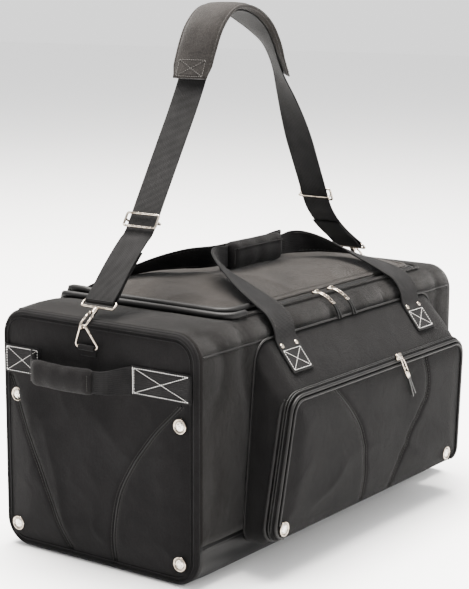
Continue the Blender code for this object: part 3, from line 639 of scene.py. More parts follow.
def make_end_panel(side, word):
    def on_face(y, z, lift=0.0):
        return Vector((side * (end_x(y, z) + lift), y, z))

    def rim(name, inset, x, radius, replaced=()):
        outline = rounded_box(HALF_DEPTH - inset, inset, HEIGHT - inset, CORNER - inset, 12)
        path = closed_path([(side * x, y, z) for y, z in outline], 0.006)
        tube(word + name, path, radius, "bag", END, replaced, closed=True, sides=12)

    count = 96
    rows = []
    for i in range(count + 1):
        t = 0.5 - 0.5 * math.cos(math.pi * i / count)
        t = 0.35 * t + 0.65 * i / count
        z = PANEL_INSET + (HEIGHT - 2 * PANEL_INSET) * min(max(t, 0.0006), 0.9994)
        half = panel_half_width(z)
        ys = [half * (2 * j / count - 1) for j in range(count + 1)]
        rows.append([(on_face(y, z), Vector((side, 0, 0))) for y in ys])
    sheet_mesh(word + "_end_cloth", rows, 0.0026, "bag", END, (word + "_end_panel",))
    for k, line in enumerate(END_SEAMS):
        path = straight_path([on_face(y, z, 0.0004) for y, z in line], 0.004)
        path = [on_face(p.y, p.z, 0.0006) for p in path]
        tube("%s_end_seam_%d" % (word, k), path, 0.0012, "bag", CORD, sides=8)
        sewn = Stitching()
        for shift in (-0.0045, 0.0045):
            sewn.topstitch([on_face(p.y + shift, p.z, 0.0004) for p in path], (side, 0, 0))
        sewn.make("%s_end_topstitch_%d" % (word, k), "bag", DARK_THREAD)
    rim("_piping_outer", 0.0060, END_X - 0.0030, 0.0029, (word + "_piping",))
    rim("_piping_inner", 0.0122, END_X - 0.0012, 0.0011)
    # binding tape over the raw edges where the end panel is sewn in
    rim("_seam_binding", 0.0052, 0.3405, 0.0042)


def vent(name, centre, out, body, replaced):
    """A pressed ring holding a shallow dome of wire mesh."""
    out, around = Vector(out).normalized(), 36
    rim = (0.0078, 0.0004), (0.0082, 0.0016), (0.0094, 0.0023), (0.0104, 0.0018), (0.0109, 0.0002)
    dome = (0.0004, 0.0020), (0.0030, 0.0019), (0.0056, 0.0015), (0.0080, 0.0008)
    for tag, profile, finish in (("rim", rim, NICKEL), ("mesh", dome, MESH)):
        verts, faces = turned(centre, out, profile, around), loft(len(profile), around)[:-2]
        last, back = len(verts) - around, len(verts)
        verts.append(Vector(centre) - out * 0.0004)
        faces += [(last + (k + 1) % around, last + k, back) for k in range(around)]
        if tag == "rim":
            verts.append(Vector(centre) + out * 0.0002)
            faces += [(k, (k + 1) % around, back + 1) for k in range(around)]
        else:
            faces.append(tuple(range(around)))
        piece(name + "_" + tag, verts, faces, body, finish, replaced if tag == "rim" else ())


def rivet(name, centre, out):
    radius, around = 0.0038, 24
    profile = ((radius, 0.0), (radius, 0.0006), (radius * 0.86, 0.0014), (radius * 0.5, 0.0020),
               (0.0004, 0.0022))
    verts = turned(centre, Vector(out).normalized(), profile, around)
    piece(name, verts, loft(len(profile), around), "bag", NICKEL)


def padded_grip(name, path, across, wide, thick, body, replaced):
    """A stuffed sleeve with tucked ends and a raised middle."""
    profile = ((-1, 0.10), (-0.97, 0.42), (-0.88, 0.70), (-0.70, 0.90), (-0.4, 1.0), (0, 1.04), (0.4, 1.0),
               (0.70, 0.90), (0.88, 0.70), (0.97, 0.42), (1, 0.10))

    def swell(t):
        edge = min(t, 1 - t)
        return 0.62 + 0.38 * ease(0.0, 0.10, edge) + 0.05 * math.sin(t * 23)

    count = len(path)
    inner = [min(i, count - 1 - i) / (count - 1) for i in range(count)]
    widths = [wide * (0.93 + 0.07 * ease(0.0, 0.08, t)) for t in inner]
    made = band(name, path, across, widths, thick, body, GRIP, replaced, profile, swell)
    inflate(made)


def make_end_fittings(side, word):
    out = (side, 0, 0)
    middle_x = side * (END_X + 0.0008 + WEB_THICK / 2)
    thread_x = side * (END_X + 0.0008 + WEB_THICK + 0.0002)
    for tag, y0, y1 in (("front", -0.166, -0.0655), ("back", 0.100, 0.166)):
        path = straight_path([(middle_x, y0, BAND_Z), (middle_x, y1, BAND_Z)], 0.006)
        band("%s_band_%s" % (word, tag), path, [UP] * len(path), [0.040] * len(path), WEB_THICK, "bag", WEB,
             (word + "_grip_band",))
        sewn = Stitching()
        if tag == "front":
            sewn.box((thread_x, -0.1165, BAND_Z), (0, 1, 0), UP, 0.0460, 0.0172, out, False)
            for y in (-0.0685, -0.0669):
                sewn.run([(thread_x, y, 0.2585), (thread_x, y, 0.2955)], out, 0.0026, 0.0026, 0.0006)
        else:
            sewn.box((thread_x, 0.1330, BAND_Z), (0, 1, 0), UP, 0.0290, 0.0172, out)
        sewn.make("%s_band_stitch_%s" % (word, tag), "bag")
    # x, y, z and width of the grip's webbing
    keys = ((0.3512, -0.068, 0.2765, 0.040), (0.3538, -0.060, 0.2755, 0.039), (0.3592, -0.049, 0.2735, 0.036),
            (0.3660, -0.034, 0.2710, 0.033), (0.3685, -0.018, 0.270, 0.031), (0.3685, 0.040, 0.2690, 0.031),
            (0.3685, 0.092, 0.270, 0.031), (0.3640, 0.102, 0.2725, 0.034), (0.3565, 0.109, 0.2755, 0.038),
            (0.3512, 0.114, 0.2765, 0.040))
    path = smooth_path(keys, 0.004)
    half = min(range(len(path)), key=lambda i: abs(path[i][1] - 0.040))
    for tag, part, sewn_y, free_y in (("front", path[:half + 1], -0.0665, -0.0180),
                                      ("back", path[half:], 0.1120, 0.0940)):
        strap = band("%s_grip_strap_%s" % (word, tag), [(side * p[0], p[1], p[2]) for p in part],
                     [UP] * len(part), [p[3] for p in part], WEB_THICK, None, WEB, (word + "_grip_webbing",))
        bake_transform(strap)
    bends = (0.3688, -0.0145, 0.2695), (0.3690, 0.041, 0.2680), (0.3688, 0.0965, 0.2695)
    middle = straight_path([(side * x, y, z) for x, y, z in bends], 0.003)
    padded_grip(word + "_grip_pad", middle, [UP] * len(middle), 0.037, 0.0175, word + "_grip",
                (word + "_grip_wrap",))
    sewn = Stitching()
    for y in (-0.0105, 0.0925):
        bends = (0.3768, 0.2575), (0.3775, 0.2690), (0.3768, 0.2805)
        sewn.topstitch([(side * x, y, z) for x, z in bends], out, 0.0034, 0.0024)
    sewn.make(word + "_grip_stitch", word + "_grip", DARK_THREAD)
    for place, y, z in (("front_low", -0.147, 0.034), ("front_high", -0.147, 0.225),
                        ("back_low", 0.147, 0.034), ("back_high", 0.147, 0.225)):
        vent("%s_eyelet_%s" % (word, place), (side * (end_x(y, z) + 0.0003), y, z), out, "bag",
             ("%s_vent_%s" % (word, place),))


# ---- lid -----------------------------------------------------------------------------------------
def lid_height(x, y):
    u = (2 * x - LID_X[0] - LID_X[1]) / (LID_X[1] - LID_X[0])
    v = (2 * y - LID_Y[0] - LID_Y[1]) / (LID_Y[1] - LID_Y[0])
    dome = max(0.0, 1 - u ** 6) * max(0.0, 1 - v ** 4)
    rumple = 0.0016 * crease(x * 9, y * 13, 0.5) + 0.0010 * noise.noise(Vector((x * 22, y * 22, 3.1)))
    return LID_BASE + 0.003 + (LID_RISE - 0.0005) * dome + (rumple - 0.0012) * min(1.0, dome * 3)


def lid_edge(inset, height, step=0.004, back=LID_Y[1]):
    """The lid's zipped edge: up one end, along the front and back; height is a number or a function."""
    x0, x1, y0, r = LID_X[0] + inset, LID_X[1] - inset, LID_Y[0] + inset, LID_CORNER
    turns = [math.pi / 2 * k / 8 for k in range(9)]
    outline = [(x0, back)]
    outline += [(x0 + r - r * math.cos(a), y0 + r - r * math.sin(a)) for a in turns]
    outline += [(x1 - r + r * math.sin(a), y0 + r - r * math.cos(a)) for a in turns]
    outline.append((x1, back))
    path = straight_path([(x, y, 0) for x, y in outline], step)
    return [Vector((p.x, p.y, height(p) if callable(height) else height)) for p in path]


def on_lid(p):
    return lid_height(p.x, p.y)


def on_lid_bend(made):
    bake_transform(made)


def make_lid():
    wide, deep, r = 110, 64, LID_CORNER
    rows = []
    for i in range(deep + 1):
        y = LID_Y[0] + (LID_Y[1] - LID_Y[0]) * i / deep
        d = y - LID_Y[0]
        shrink = r - math.sqrt(max(0.0, r * r - (r - d) ** 2)) if d < r else 0.0
        x0, x1 = LID_X[0] + shrink, LID_X[1] - shrink
        xs = [x0 + (x1 - x0) * j / wide for j in range(wide + 1)]
        rows.append([(Vector((x, y, lid_height(x, y))), UP) for x in xs])
    on_lid_bend(sheet_mesh("lid_cloth", rows, 0.0026, None, LID_PAINTED_LIGHT, ("lid_rear", "lid_flap")))
    hem = lid_edge(0.0035, lambda p: on_lid(p) - 0.0006)
    on_lid_bend(tube("lid_hem", hem, 0.0032, None, LID_PAINTED_LIGHT, sides=12))
    coil, tooth, back = lid_edge(-0.0006, LID_BASE + 0.0012, 0.0006), 0.0024, LID_Y[1] - 0.001
    on_lid_bend(tube("lid_coil", coil, 0.0016, None, TEETH, sides=8, tooth=tooth))
    coil = lid_edge(-0.0044, HEIGHT + 0.0012, 0.0006, back)
    tube("body_coil", coil, 0.0015, "bag", TEETH, sides=8, tooth=tooth)
    line = lid_edge(-0.0045, HEIGHT - 0.0004, 0.004, back)
    last = len(line) - 1
    sides = [(line[min(i + 1, last)] - line[max(i - 1, 0)]).cross(UP) for i in range(last + 1)]
    band("lid_tape", line, sides, [0.0130] * len(line), 0.0016, "bag", TAPE, ("lid_zip_tape",))
    tube("body_hem", lid_edge(-0.0118, HEIGHT + 0.0006, 0.004, back), 0.0030, "bag", BODY, sides=12)
    # the zip's cover is rolled over at the left end
    tucked = [Vector((LID_X[0] + x, y, HEIGHT - drop)) for x, y, drop in ((0.0060, 0.159, 0.013),
                                                                         (0.0030, 0.156, 0.003))]
    roll = tucked + lid_edge(0.0015, lambda p: LID_BASE + 0.0066 + 0.0040 * ease(0.09, 0.13, p.y))[:92]
    on_lid_bend(tube("lid_roll", roll, 0.0052, None, CORD, sides=12))
    roll = [p - Vector((0.012, 0, 0)) for p in tucked] + lid_edge(-0.0132, HEIGHT + 0.0040)[:90]
    tube("body_roll", roll, 0.0052, "bag", CORD, sides=12)
    sewn = Stitching()
    sewn.topstitch(lid_edge(0.0095, lambda p: on_lid(p) + 0.0003), UP, 0.0046, 0.0032)
    on_lid_bend(sewn.make("lid_topstitch", None, DARK_THREAD))


def zip_slider(name, centre, along, out, body):
    """A die-cast slider: a waisted body and a bridge for its pull."""
    centre, along, out = Vector(centre), Vector(along).normalized(), Vector(out).normalized()
    side = along.cross(out)
    outline = ((-1, 0.55), (-0.9, 0.8), (-0.4, 0.8), (0.1, 1.0), (0.8, 1.0), (1, 0.75))
    ring = list(outline) + [(a, -w) for a, w in reversed(outline)]
    verts = [centre + along * a * 0.0070 * s + side * w * 0.0056 * s + out * h
             for h, s in ((-0.0030, 0.94), (-0.0020, 1.0), (0.0010, 1.0), (0.0020, 0.88)) for a, w in ring]
    piece(name + "_body", verts, loft(4, len(ring)), body, NICKEL, (body,))
    rise = ((-1, 0.0012), (-0.9, 0.0030), (-0.5, 0.0040), (0, 0.0043), (0.5, 0.0040), (0.9, 0.0030),
            (1, 0.0012))
    bridge = [centre + along * a * 0.0052 + out * h for a, h in rise]
    tube(name + "_bridge", bridge, 0.0008, body, NICKEL, sides=8)


LINK = "zip_pull", NICKEL[1]
PULL_PROFILE = ((-1, 0.3), (-0.9, 0.8), (-0.7, 1.0), (0, 1.0), (0.7, 1.0), (0.9, 0.8), (1, 0.3))


def zip_pull(name, path, across, body, split):
    """An open metal link, a clip at its end and a doubled thong."""
    side = Vector(across).normalized()
    cut = int(len(path) * split)
    spread = [0.0022 + 0.0010 * ease(0, 0.4, i / cut) for i in range(cut + 1)]
    rail = [path[i] + side * spread[i] for i in range(cut + 1)]
    other = [path[i] - side * spread[i] for i in range(cut, -1, -1)]
    tube(name + "_link", rail + other, 0.00115, body, LINK, (body,), closed=True)
    bar = int(cut * 0.72)
    tube(name + "_link_bar", [path[bar] + side * t for t in (-0.0030, 0.0, 0.0030)], 0.0010, body, LINK)
    clip, rest = path[cut - 1:cut + 3], path[cut + 1:]
    band(name + "_clip", clip, [across] * 4, [0.0078] * 4, 0.0036, body, LINK, (), PULL_PROFILE)
    for tag, sign in (("a", -1), ("b", 1)):
        thong = [p + side * sign * (0.0018 + 0.0016 * ease(0.3, 1.0, i / len(rest)))
                 for i, p in enumerate(rest)]
        band("%s_thong_%s" % (name, tag), thong, [across] * len(thong), [0.0036] * len(thong), 0.0024, body,
             THONG, (), PULL_PROFILE)


def make_lid_sliders():
    centre = Vector((0, -(HALF_DEPTH - CORNER), HEIGHT - CORNER))
    for word, x in (("left", -0.010), ("right", 0.030)):
        at = (x, -0.1410, HEIGHT + 0.0036)
        zip_slider("lid_%s_slider" % word, at, (1, 0, 0), UP, "lid_slider_" + word)
        arc = [math.radians(103 + 66 * k / 40) for k in range(41)]
        path = [centre + Vector((x + 0.006 * k / 40, math.cos(a) * 0.0452, math.sin(a) * 0.0452))
                for k, a in enumerate(arc)]
        zip_pull("lid_%s_pull" % word, path, (1, 0, 0), "lid_pull_" + word, 0.50)


# ---- pocket --------------------------------------------------------------------------------------
DARTS = (
    ((-0.1085, 0.243), (-0.069, 0.204), (-0.042, 0.168), (-0.032, 0.1155), (-0.030, 0.062)),
    ((0.148, 0.247), (0.152, 0.187), (0.1295, 0.160), (0.098, 0.129), (0.063, 0.084), (0.052, 0.062)),
)
DART_LINES = flat_curves(DARTS)


def flap_row(z):
    """Ends of the pocket's front at one height, with its rounded corners."""
    t = (z - POCKET_LOW) / (POCKET_HIGH - POCKET_LOW)
    x0 = POCKET_FRONT[0][0] + (POCKET_FRONT[3][0] - POCKET_FRONT[0][0]) * t
    x1 = POCKET_FRONT[1][0] + (POCKET_FRONT[2][0] - POCKET_FRONT[1][0]) * t
    for edge, r in ((z - POCKET_LOW, POCKET_RADII[0]), (POCKET_HIGH - z, POCKET_RADII[2])):
        if edge < r:
            shrink = r - math.sqrt(max(0.0, r * r - (r - edge) ** 2))
            x0, x1 = x0 + shrink, x1 - shrink
    return x0, x1


def flap_y(x, z):
    """Outer face of the pocket's front: a pillow pulled in along its darts and round its edge."""
    x0, x1 = flap_row(z)
    rim = min(x - x0, x1 - x, z - POCKET_LOW, POCKET_HIGH - z)
    pillow = ease(0.0, 0.045, rim)
    bulge = 0.0052 * pillow + 0.0022 * pillow * noise.noise(Vector((x * 9, z * 11, 2.0)))
    bulge += 0.0026 * crease(x * 7, z * 14, 0.2) * ease(0.012, 0.05, rim) * ease(0.20, 0.12, z)
    # the cloth lies flatter behind the zip pull
    near = math.exp(-((x - 0.085) / 0.045) ** 2) * ease(0.16, 0.19, z)
    bulge = bulge * (1 - near) + min(bulge, 0.0030) * near
    groove = 0.0034 * math.exp(-(seam_distance(x, z, DART_LINES) / 0.0050) ** 2)
    edge = 0.0028 * (1 - ease(0.0, 0.012, rim))
    return FLAP_Y - bulge + groove + edge


def pocket_outline(corners):
    """A rounded outline with its long sides divided."""
    outline, filled = rounded(corners, POCKET_RADII, 8), []
    for a, b in zip(outline, outline[1:] + outline[:1]):
        count = 18 if (b - a).length > 0.35 else (14 if (b - a).length > 0.10 else 1)
        filled += [a.lerp(b, k / count) for k in range(count)]
    return filled


def make_pocket_side():
    back, front, steps = pocket_outline(POCKET_BACK), pocket_outline(POCKET_FRONT), 14
    rows = []
    for i in range(steps + 1):
        t = i / steps
        ring = [a.lerp(b, t) for a, b in zip(back, front)]
        y, arch = POCKET_BACK_Y + (POCKET_FRONT_Y - POCKET_BACK_Y) * t, math.sin(math.pi * t)
        row = []
        for k, p in enumerate(ring):
            along = ring[(k + 1) % len(ring)] - ring[k - 1]
            flat = Vector((along.y, -along.x)).normalized()
            out = Vector((flat.x, 0, flat.y))
            roof = ease(0.3, 0.9, flat.y)
            lift = arch * (0.0050 * (1 - roof) - 0.0005 * roof)
            lift += arch * 0.0022 * crease(p.x * 10, t * 2.0, p.y * 10, 5.0) * (1 - roof)
            lift -= arch * 0.0022 * roof * crease(p.x * 22, t * 1.4, 0.4)
            row.append((Vector((p.x, y, p.y)) + out * lift, out))
        rows.append(row)
    sheet_mesh("pocket_side_cloth", rows, 0.0030, "bag", POCKET, ("pocket_gusset",), ring=True)


def make_pocket_front():
    def on_face(x, z, lift=0.0):
        return Vector((x, flap_y(x, z) - lift, z))

    high, wide = 66, 132
    low, top = POCKET_LOW + 0.0001, POCKET_HIGH - 0.0001
    rows = []
    for i in range(high + 1):
        z = low + (top - low) * (0.3 * (0.5 - 0.5 * math.cos(math.pi * i / high)) + 0.7 * i / high)
        x0, x1 = flap_row(z)
        xs = [x0 + (x1 - x0) * j / wide for j in range(wide + 1)]
        rows.append([(on_face(x, z), Vector((0, -1, 0))) for x in xs])
    sheet_mesh("pocket_front_cloth", rows, 0.0050, "pocket_flap", POCKET, ("pocket_flap",))
    for k, line in enumerate(DART_LINES):
        path = straight_path([on_face(x, z, 0.0006) for x, z in line], 0.004)
        path = [on_face(p.x, p.z, 0.0006) for p in path]
        tube("pocket_dart_%d" % k, path, 0.0011, "pocket_flap", CORD, sides=8)
        sewn = Stitching()
        for shift in (-0.0046, 0.0046):
            sewn.topstitch([on_face(p.x + shift, p.z, 0.0003) for p in path], (0, -1, 0))
        sewn.make("pocket_dart_stitch_%d" % k, "pocket_flap", DARK_THREAD)


def moved(path, y, out):
    """The path at depth y, moved away from the pocket's middle."""
    made, last = [], len(path) - 1
    for i, p in enumerate(path):
        along = path[min(i + 4, last)] - path[max(i - 4, 0)]
        away = Vector((along.z, 0, -along.x)).normalized()
        if away.dot(p - Vector((0.02, 0, 0.15))) < 0:
            away = -away
        made.append(Vector((p.x, y, p.z)) + away * out)
    return made


def make_pocket():
    make_pocket_side()
    make_pocket_front()
    outline = rounded(POCKET_FRONT, POCKET_RADII, 5)
    zipped = [(p.x, 0, p.y) for p in outline[6:24] + outline[:6]]
    fine, coarse = straight_path(zipped, 0.0006), straight_path(zipped, 0.004)
    for name, y, out, radius, body in (("outer", -0.2282, 0.0016, 0.0016, "bag"),
                                       ("inner", -0.2318, 0.0010, 0.0015, "pocket_flap")):
        tube("pocket_coil_" + name, moved(fine, y, out), radius, body, TEETH, sides=8, tooth=0.0024)
    for name, path, y, out, radius, body in (
        ("outer", coarse, -0.2225, 0.0022, 0.0026, "bag"),
        ("inner", coarse, -0.2368, -0.0030, 0.0024, "pocket_flap"),
        ("third", straight_path(zipped[5:-5], 0.004), -0.2392, -0.0085, 0.0018, "pocket_flap"),
    ):
        tube("pocket_hem_" + name, moved(path, y, out), radius, body, CORD)
    seam_y = POCKET_BACK_Y - 0.0010
    seam = closed_path([(p.x, seam_y, p.y) for p in rounded(POCKET_BACK, POCKET_RADII, 8)], 0.006)
    tube("pocket_back_seam", moved(seam, seam_y, 0.0014), 0.0016, "bag", CORD, sides=8, closed=True)
    for word, x in (("left", -0.236), ("right", 0.222)):
        vent("pocket_eyelet_" + word, (x, flap_y(x, 0.071) - 0.0003, 0.071), (0, -1, 0), "pocket_flap",
             ("pocket_vent_" + word,))
    zip_slider("pocket_slider_cast", (0.0665, -0.2385, 0.2558), (1, 0, 0), (0, -1, 0.25), "pocket_slider")
    lean = math.radians(32)
    along = Vector((math.sin(lean), 0, -math.cos(lean)))
    path = [Vector((0.0665, -0.2440 - 0.0010 * math.sin(k / 20 * math.pi), 0.2535)) + along * 0.074 * k / 20
            for k in range(21)]
    zip_pull("pocket_pull_part", path, (math.cos(lean), 0, math.sin(lean)), "pocket_pull", 0.40)


# ---- carry handles -------------------------------------------------------------------------------
ROOF_DOWN = Vector((0, -0.0529, -0.0665)).normalized()
ROOF_NORMAL = Vector((0, -0.0665, 0.0529)).normalized()
ROOF_TOP = Vector((0, POCKET_BACK_Y, SEAM_Z))
# place, direction across and width of the webbing, from the sewn end to the middle of the grip
FRONT_LEG = (
    ((-0.1735, -0.1825, 0.3152), (1, 0, 0), 0.050),
    ((-0.1735, -0.1780, 0.3330), (1, 0, 0), 0.050),
    ((-0.1730, -0.1655, 0.3500), (1, 0, 0), 0.050),
    ((-0.1705, -0.1430, 0.3620), (1, 0.02, 0), 0.050),
    ((-0.1620, -0.1080, 0.3760), (1, -0.10, -0.20), 0.050),
    ((-0.1470, -0.0680, 0.3920), (0.80, -0.30, -0.50), 0.048),
    ((-0.1260, -0.0330, 0.4000), (0.50, -0.35, -0.80), 0.042),
    ((-0.1000, -0.0110, 0.4010), (0.15, -0.15, -1), 0.036),
    ((-0.0780, -0.0061, 0.4000), (0, 0, -1), 0.032),
    ((-0.0700, -0.0060, 0.4000), (0, 0, -1), 0.032),
    ((-0.0400, -0.0060, 0.4000), (0, 0, -1), 0.032),
)
BACK_LEG = (
    ((-0.1735, 0.1785, 0.3152), (-1, 0, 0), 0.050),
    ((-0.1735, 0.1765, 0.3330), (-1, 0, 0), 0.050),
    ((-0.1730, 0.1655, 0.3500), (-1, 0, 0), 0.050),
    ((-0.1705, 0.1430, 0.3620), (-1, 0.02, 0), 0.050),
    ((-0.1620, 0.1080, 0.3760), (-1, -0.10, 0.20), 0.050),
    ((-0.1470, 0.0700, 0.3900), (-0.80, -0.30, 0.50), 0.046),
    ((-0.1260, 0.0360, 0.3985), (-0.50, -0.35, 0.80), 0.040),
    ((-0.1000, 0.0150, 0.4000), (-0.15, -0.15, 1), 0.034),
    ((-0.0780, 0.0091, 0.4000), (0, 0, 1), 0.032),
    ((-0.0400, 0.0090, 0.4000), (0, 0, 1), 0.032),
)


def carry_handle(name, leg, anchor):
    """Sewn end, leg, grip stretch, and the mirror image of both."""
    keys = [(*p, *d, w) for p, d, w in anchor + leg]
    keys += [(-k[0], *k[1:]) for k in reversed(keys)]
    path = smooth_path(keys, 0.005)
    centre = [Vector((FITTING_X + p[0], p[1], p[2])) for p in path]
    across = [Vector(tuple(p)[3:6]).normalized() for p in path]
    widths = [p[6] for p in path]
    made = band(name + "_web", centre, across, widths, WEB_THICK, None, WEB,
                (name, name.replace("handle", "anchor_left"), name.replace("handle", "anchor_right")))
    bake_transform(made)
    sewn = Stitching()
    for edge in (-0.80, 0.80):
        for first, last in ((0.10, 0.36), (0.64, 0.90)):
            line = []
            for i in range(int(len(path) * first), int(len(path) * last)):
                along = (centre[i + 1] - centre[i - 1]).normalized()
                out = along.cross(across[i]).normalized()
                out = out if out.z >= 0 or abs(out.z) < 0.1 else -out
                line.append((centre[i] + across[i] * edge * widths[i] / 2, out))
            sewn.both_faces(line, WEB_THICK / 2, 0.0034)
    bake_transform(sewn.make(name + "_edge_stitch", None, DARK_THREAD))


def make_handles():
    def roof(x, down, lift):
        """A place on the sloping top of the pocket."""
        at = ROOF_TOP + ROOF_DOWN * down + ROOF_NORMAL * lift
        return Vector((x, at.y, at.z))

    back = Vector((0, 1, 0))
    x = -HANDLE_SPAN / 2
    anchor = tuple((roof(x, down, 0.0017), (1, 0, 0), WEBBING) for down in (0.0590, 0.0575, 0.040, 0.022))
    carry_handle("front_handle", FRONT_LEG, anchor)
    anchor = tuple(((x, 0.1768, z), (-1, 0, 0), WEBBING) for z in (0.262, 0.264, 0.285, 0.300))
    carry_handle("back_handle", BACK_LEG, anchor)
    for word, side in (("left", -1), ("right", 1)):
        x = FITTING_X + side * HANDLE_SPAN / 2
        sewn = Stitching()
        sewn.box(roof(x, 0.0395, 0.0031), (1, 0, 0), ROOF_DOWN, 0.0205, 0.0155, ROOF_NORMAL)
        sewn.make("front_box_stitch_" + word, "bag")
        for k, shift in enumerate((-0.0175, 0.0175)):
            rivet("front_rivet_%s_%d" % (word, k), roof(x + shift, 0.0165, 0.0030), ROOF_NORMAL)
            rivet("back_rivet_%s_%d" % (word, k), (x + shift, 0.1781, 0.3015), back)
        sewn = Stitching()
        sewn.box((x, 0.1782, 0.2805), (1, 0, 0), UP, 0.0205, 0.0135, back)
        sewn.make("back_box_stitch_" + word, "bag")
    middle = straight_path([(FITTING_X - 0.070, -0.006, 0.3995), (FITTING_X + 0.068, -0.006, 0.3995)], 0.003)
    padded_grip("handle_cuff", middle, [UP] * len(middle), 0.043, 0.0225, "front_handle", ("handle_wrap",))
    sewn = Stitching()
    for x in (FITTING_X - 0.065, FITTING_X + 0.063):
        line = [(x, -0.0165, 0.387), (x, -0.0172, 0.3995), (x, -0.0165, 0.412)]
        sewn.topstitch(line, -back, 0.0036, 0.0026)
    sewn.make("cuff_stitch", "front_handle", DARK_THREAD)
    flap = straight_path([(FITTING_X - 0.062, -0.0180, 0.4105), (FITTING_X + 0.060, -0.0180, 0.4105)], 0.004)
    tube("cuff_flap_edge", flap, 0.0011, "front_handle", GRIP, sides=8)


# ---- shoulder strap ------------------------------------------------------------------------------
ACROSS = Vector((0, 1, 0))
LINE_FOOT, LINE_TOP = (-0.236, 0.459), (-0.137, 0.622)
RIGHT_FOOT, RIGHT_TOP = (0.2225, 0.4514), (0.150, 0.592)
# x, z and twist in degrees along the strap
STRAP_ROUTE = (
    (-0.3095, 0.3875, 0), (-0.290, 0.409, 0), (-0.268, 0.431, 0), (-0.250, 0.447, 0),
    (*LINE_FOOT, 0), (-0.2112, 0.4998, 0), (-0.1865, 0.5405, 0), (-0.1617, 0.5813, 0),
    (*LINE_TOP, 0), (-0.114, 0.664, 0), (-0.097, 0.704, 0), (-0.080, 0.735, 0),
    (-0.055, 0.757, 0), (-0.028, 0.763, 0), (0.005, 0.756, 0), (0.036, 0.741, 6),
    (0.062, 0.722, 20), (0.085, 0.700, 34), (0.107, 0.668, 36), (0.129, 0.631, 22),
    (*RIGHT_TOP, 8), (0.167, 0.559, 0), (0.185, 0.524, 0), (0.204, 0.4873, 0),
    (*RIGHT_FOOT, 0), (0.237, 0.433, 0), (0.256, 0.416, 0), (0.280, 0.399, 0), (0.304, 0.3845, 0),
)
PAD_ENDS, PAD_LIFT, FOLD_BACK = (9, 18), 0.0064, 0.088


def turn_frame(path, i):
    """Directions along and across the strap at one point, and outward from it."""
    before, after = path[max(i - 1, 0)], path[min(i + 1, len(path) - 1)]
    along = Vector((after[0] - before[0], 0, after[1] - before[1])).normalized()
    across = Matrix.Rotation(math.radians(path[i][2]), 3, along) @ ACROSS
    return along, across, along.cross(across)


def strap_point(path, i, lift=0.0):
    return Vector((path[i][0], STRAP_Y, path[i][1])) + turn_frame(path, i)[2] * lift


def folded_end(path, eye, first):
    """The strap's turn round an eye and the layer that runs back under it."""
    order = range(len(path)) if first else range(len(path) - 1, -1, -1)
    radius = EYE_WIRE + 0.0004 + WEB_THICK / 2
    away = (strap_point(path, order[0]) - eye).normalized()
    outward = turn_frame(path, order[0])[2]
    outward = (outward - away * outward.dot(away)).normalized()
    turns = [math.pi * k / 12 for k in range(13)]
    end = [eye + (outward * math.cos(a) - away * math.sin(a)) * radius for a in turns]
    travelled, last = 0.0, eye
    for i in order:
        here = strap_point(path, i)
        travelled += (here - last).length
        last = here
        if travelled > FOLD_BACK:
            break
        spread = 0.0034 + (2 * radius - 0.0034) * max(0.0, 1 - travelled / 0.030)
        end.append(here - turn_frame(path, i)[2] * spread)
    return end[::-1] if first else end


def hook_frame(side):
    """Foot of a hook, its direction down towards the ring, and its outward direction."""
    tilt = math.radians(38)
    down = Vector((side * math.cos(tilt), 0, -math.sin(tilt)))
    return Vector((side * 0.3314, STRAP_Y, 0.3630)), down, Vector((side * math.sin(tilt), 0, math.cos(tilt)))


def make_shoulder_pad(path):
    near = [min(range(len(path)), key=lambda i: (Vector(path[i][:2]) - Vector(STRAP_ROUTE[k][:2])).length)
            for k in PAD_ENDS]
    covered = list(range(near[0], near[1] + 1))
    last = len(covered) - 1
    profile = ((-1, 0.30), (-0.985, 0.46), (-0.93, 0.50), (-0.90, 0.38), (-0.86, 0.66), (-0.72, 0.96),
               (-0.4, 1.10), (0, 1.14), (0.4, 1.10), (0.72, 0.96), (0.86, 0.66), (0.90, 0.38), (0.93, 0.50),
               (0.985, 0.46), (1, 0.30))

    def swell(t):
        inner = min(t, 1 - t)
        return 0.55 + 0.45 * ease(0.085, 0.16, inner) + 0.03 * math.sin(t * 31)

    widths = [0.070 * (0.86 + 0.14 * ease(0.0, 0.07, min(k, last - k) / last)) for k in range(last + 1)]
    pad = band("shoulder_cushion", [strap_point(path, i, PAD_LIFT) for i in covered],
               [turn_frame(path, i)[1] for i in covered], widths, 0.0096, "strap", PAD_PAINTED_LIGHT, ("shoulder_pad",),
               profile, swell)
    sewn = Stitching()
    for at, sign in ((covered[0], 1), (covered[-1], -1)):
        i = at + sign * 2
        along, side, out = turn_frame(path, i)
        middle = strap_point(path, i, PAD_LIFT + 0.0034) + along * sign * 0.002
        sewn.box(middle, along, side, 0.0125, 0.0235, out)
    sewn.make("pad_box_stitch", "strap", GREY_THREAD)
    sewn = Stitching()
    for edge in (-0.90, 0.90):
        line = []
        for k, i in enumerate(covered[3:-3]):
            along, side, out = turn_frame(path, i)
            line.append((strap_point(path, i, PAD_LIFT) + side * edge * widths[k + 3] / 2, out))
        sewn.both_faces(line, 0.0017, 0.0040)
    sewn.make("pad_edge_stitch", "strap", DARK_THREAD)


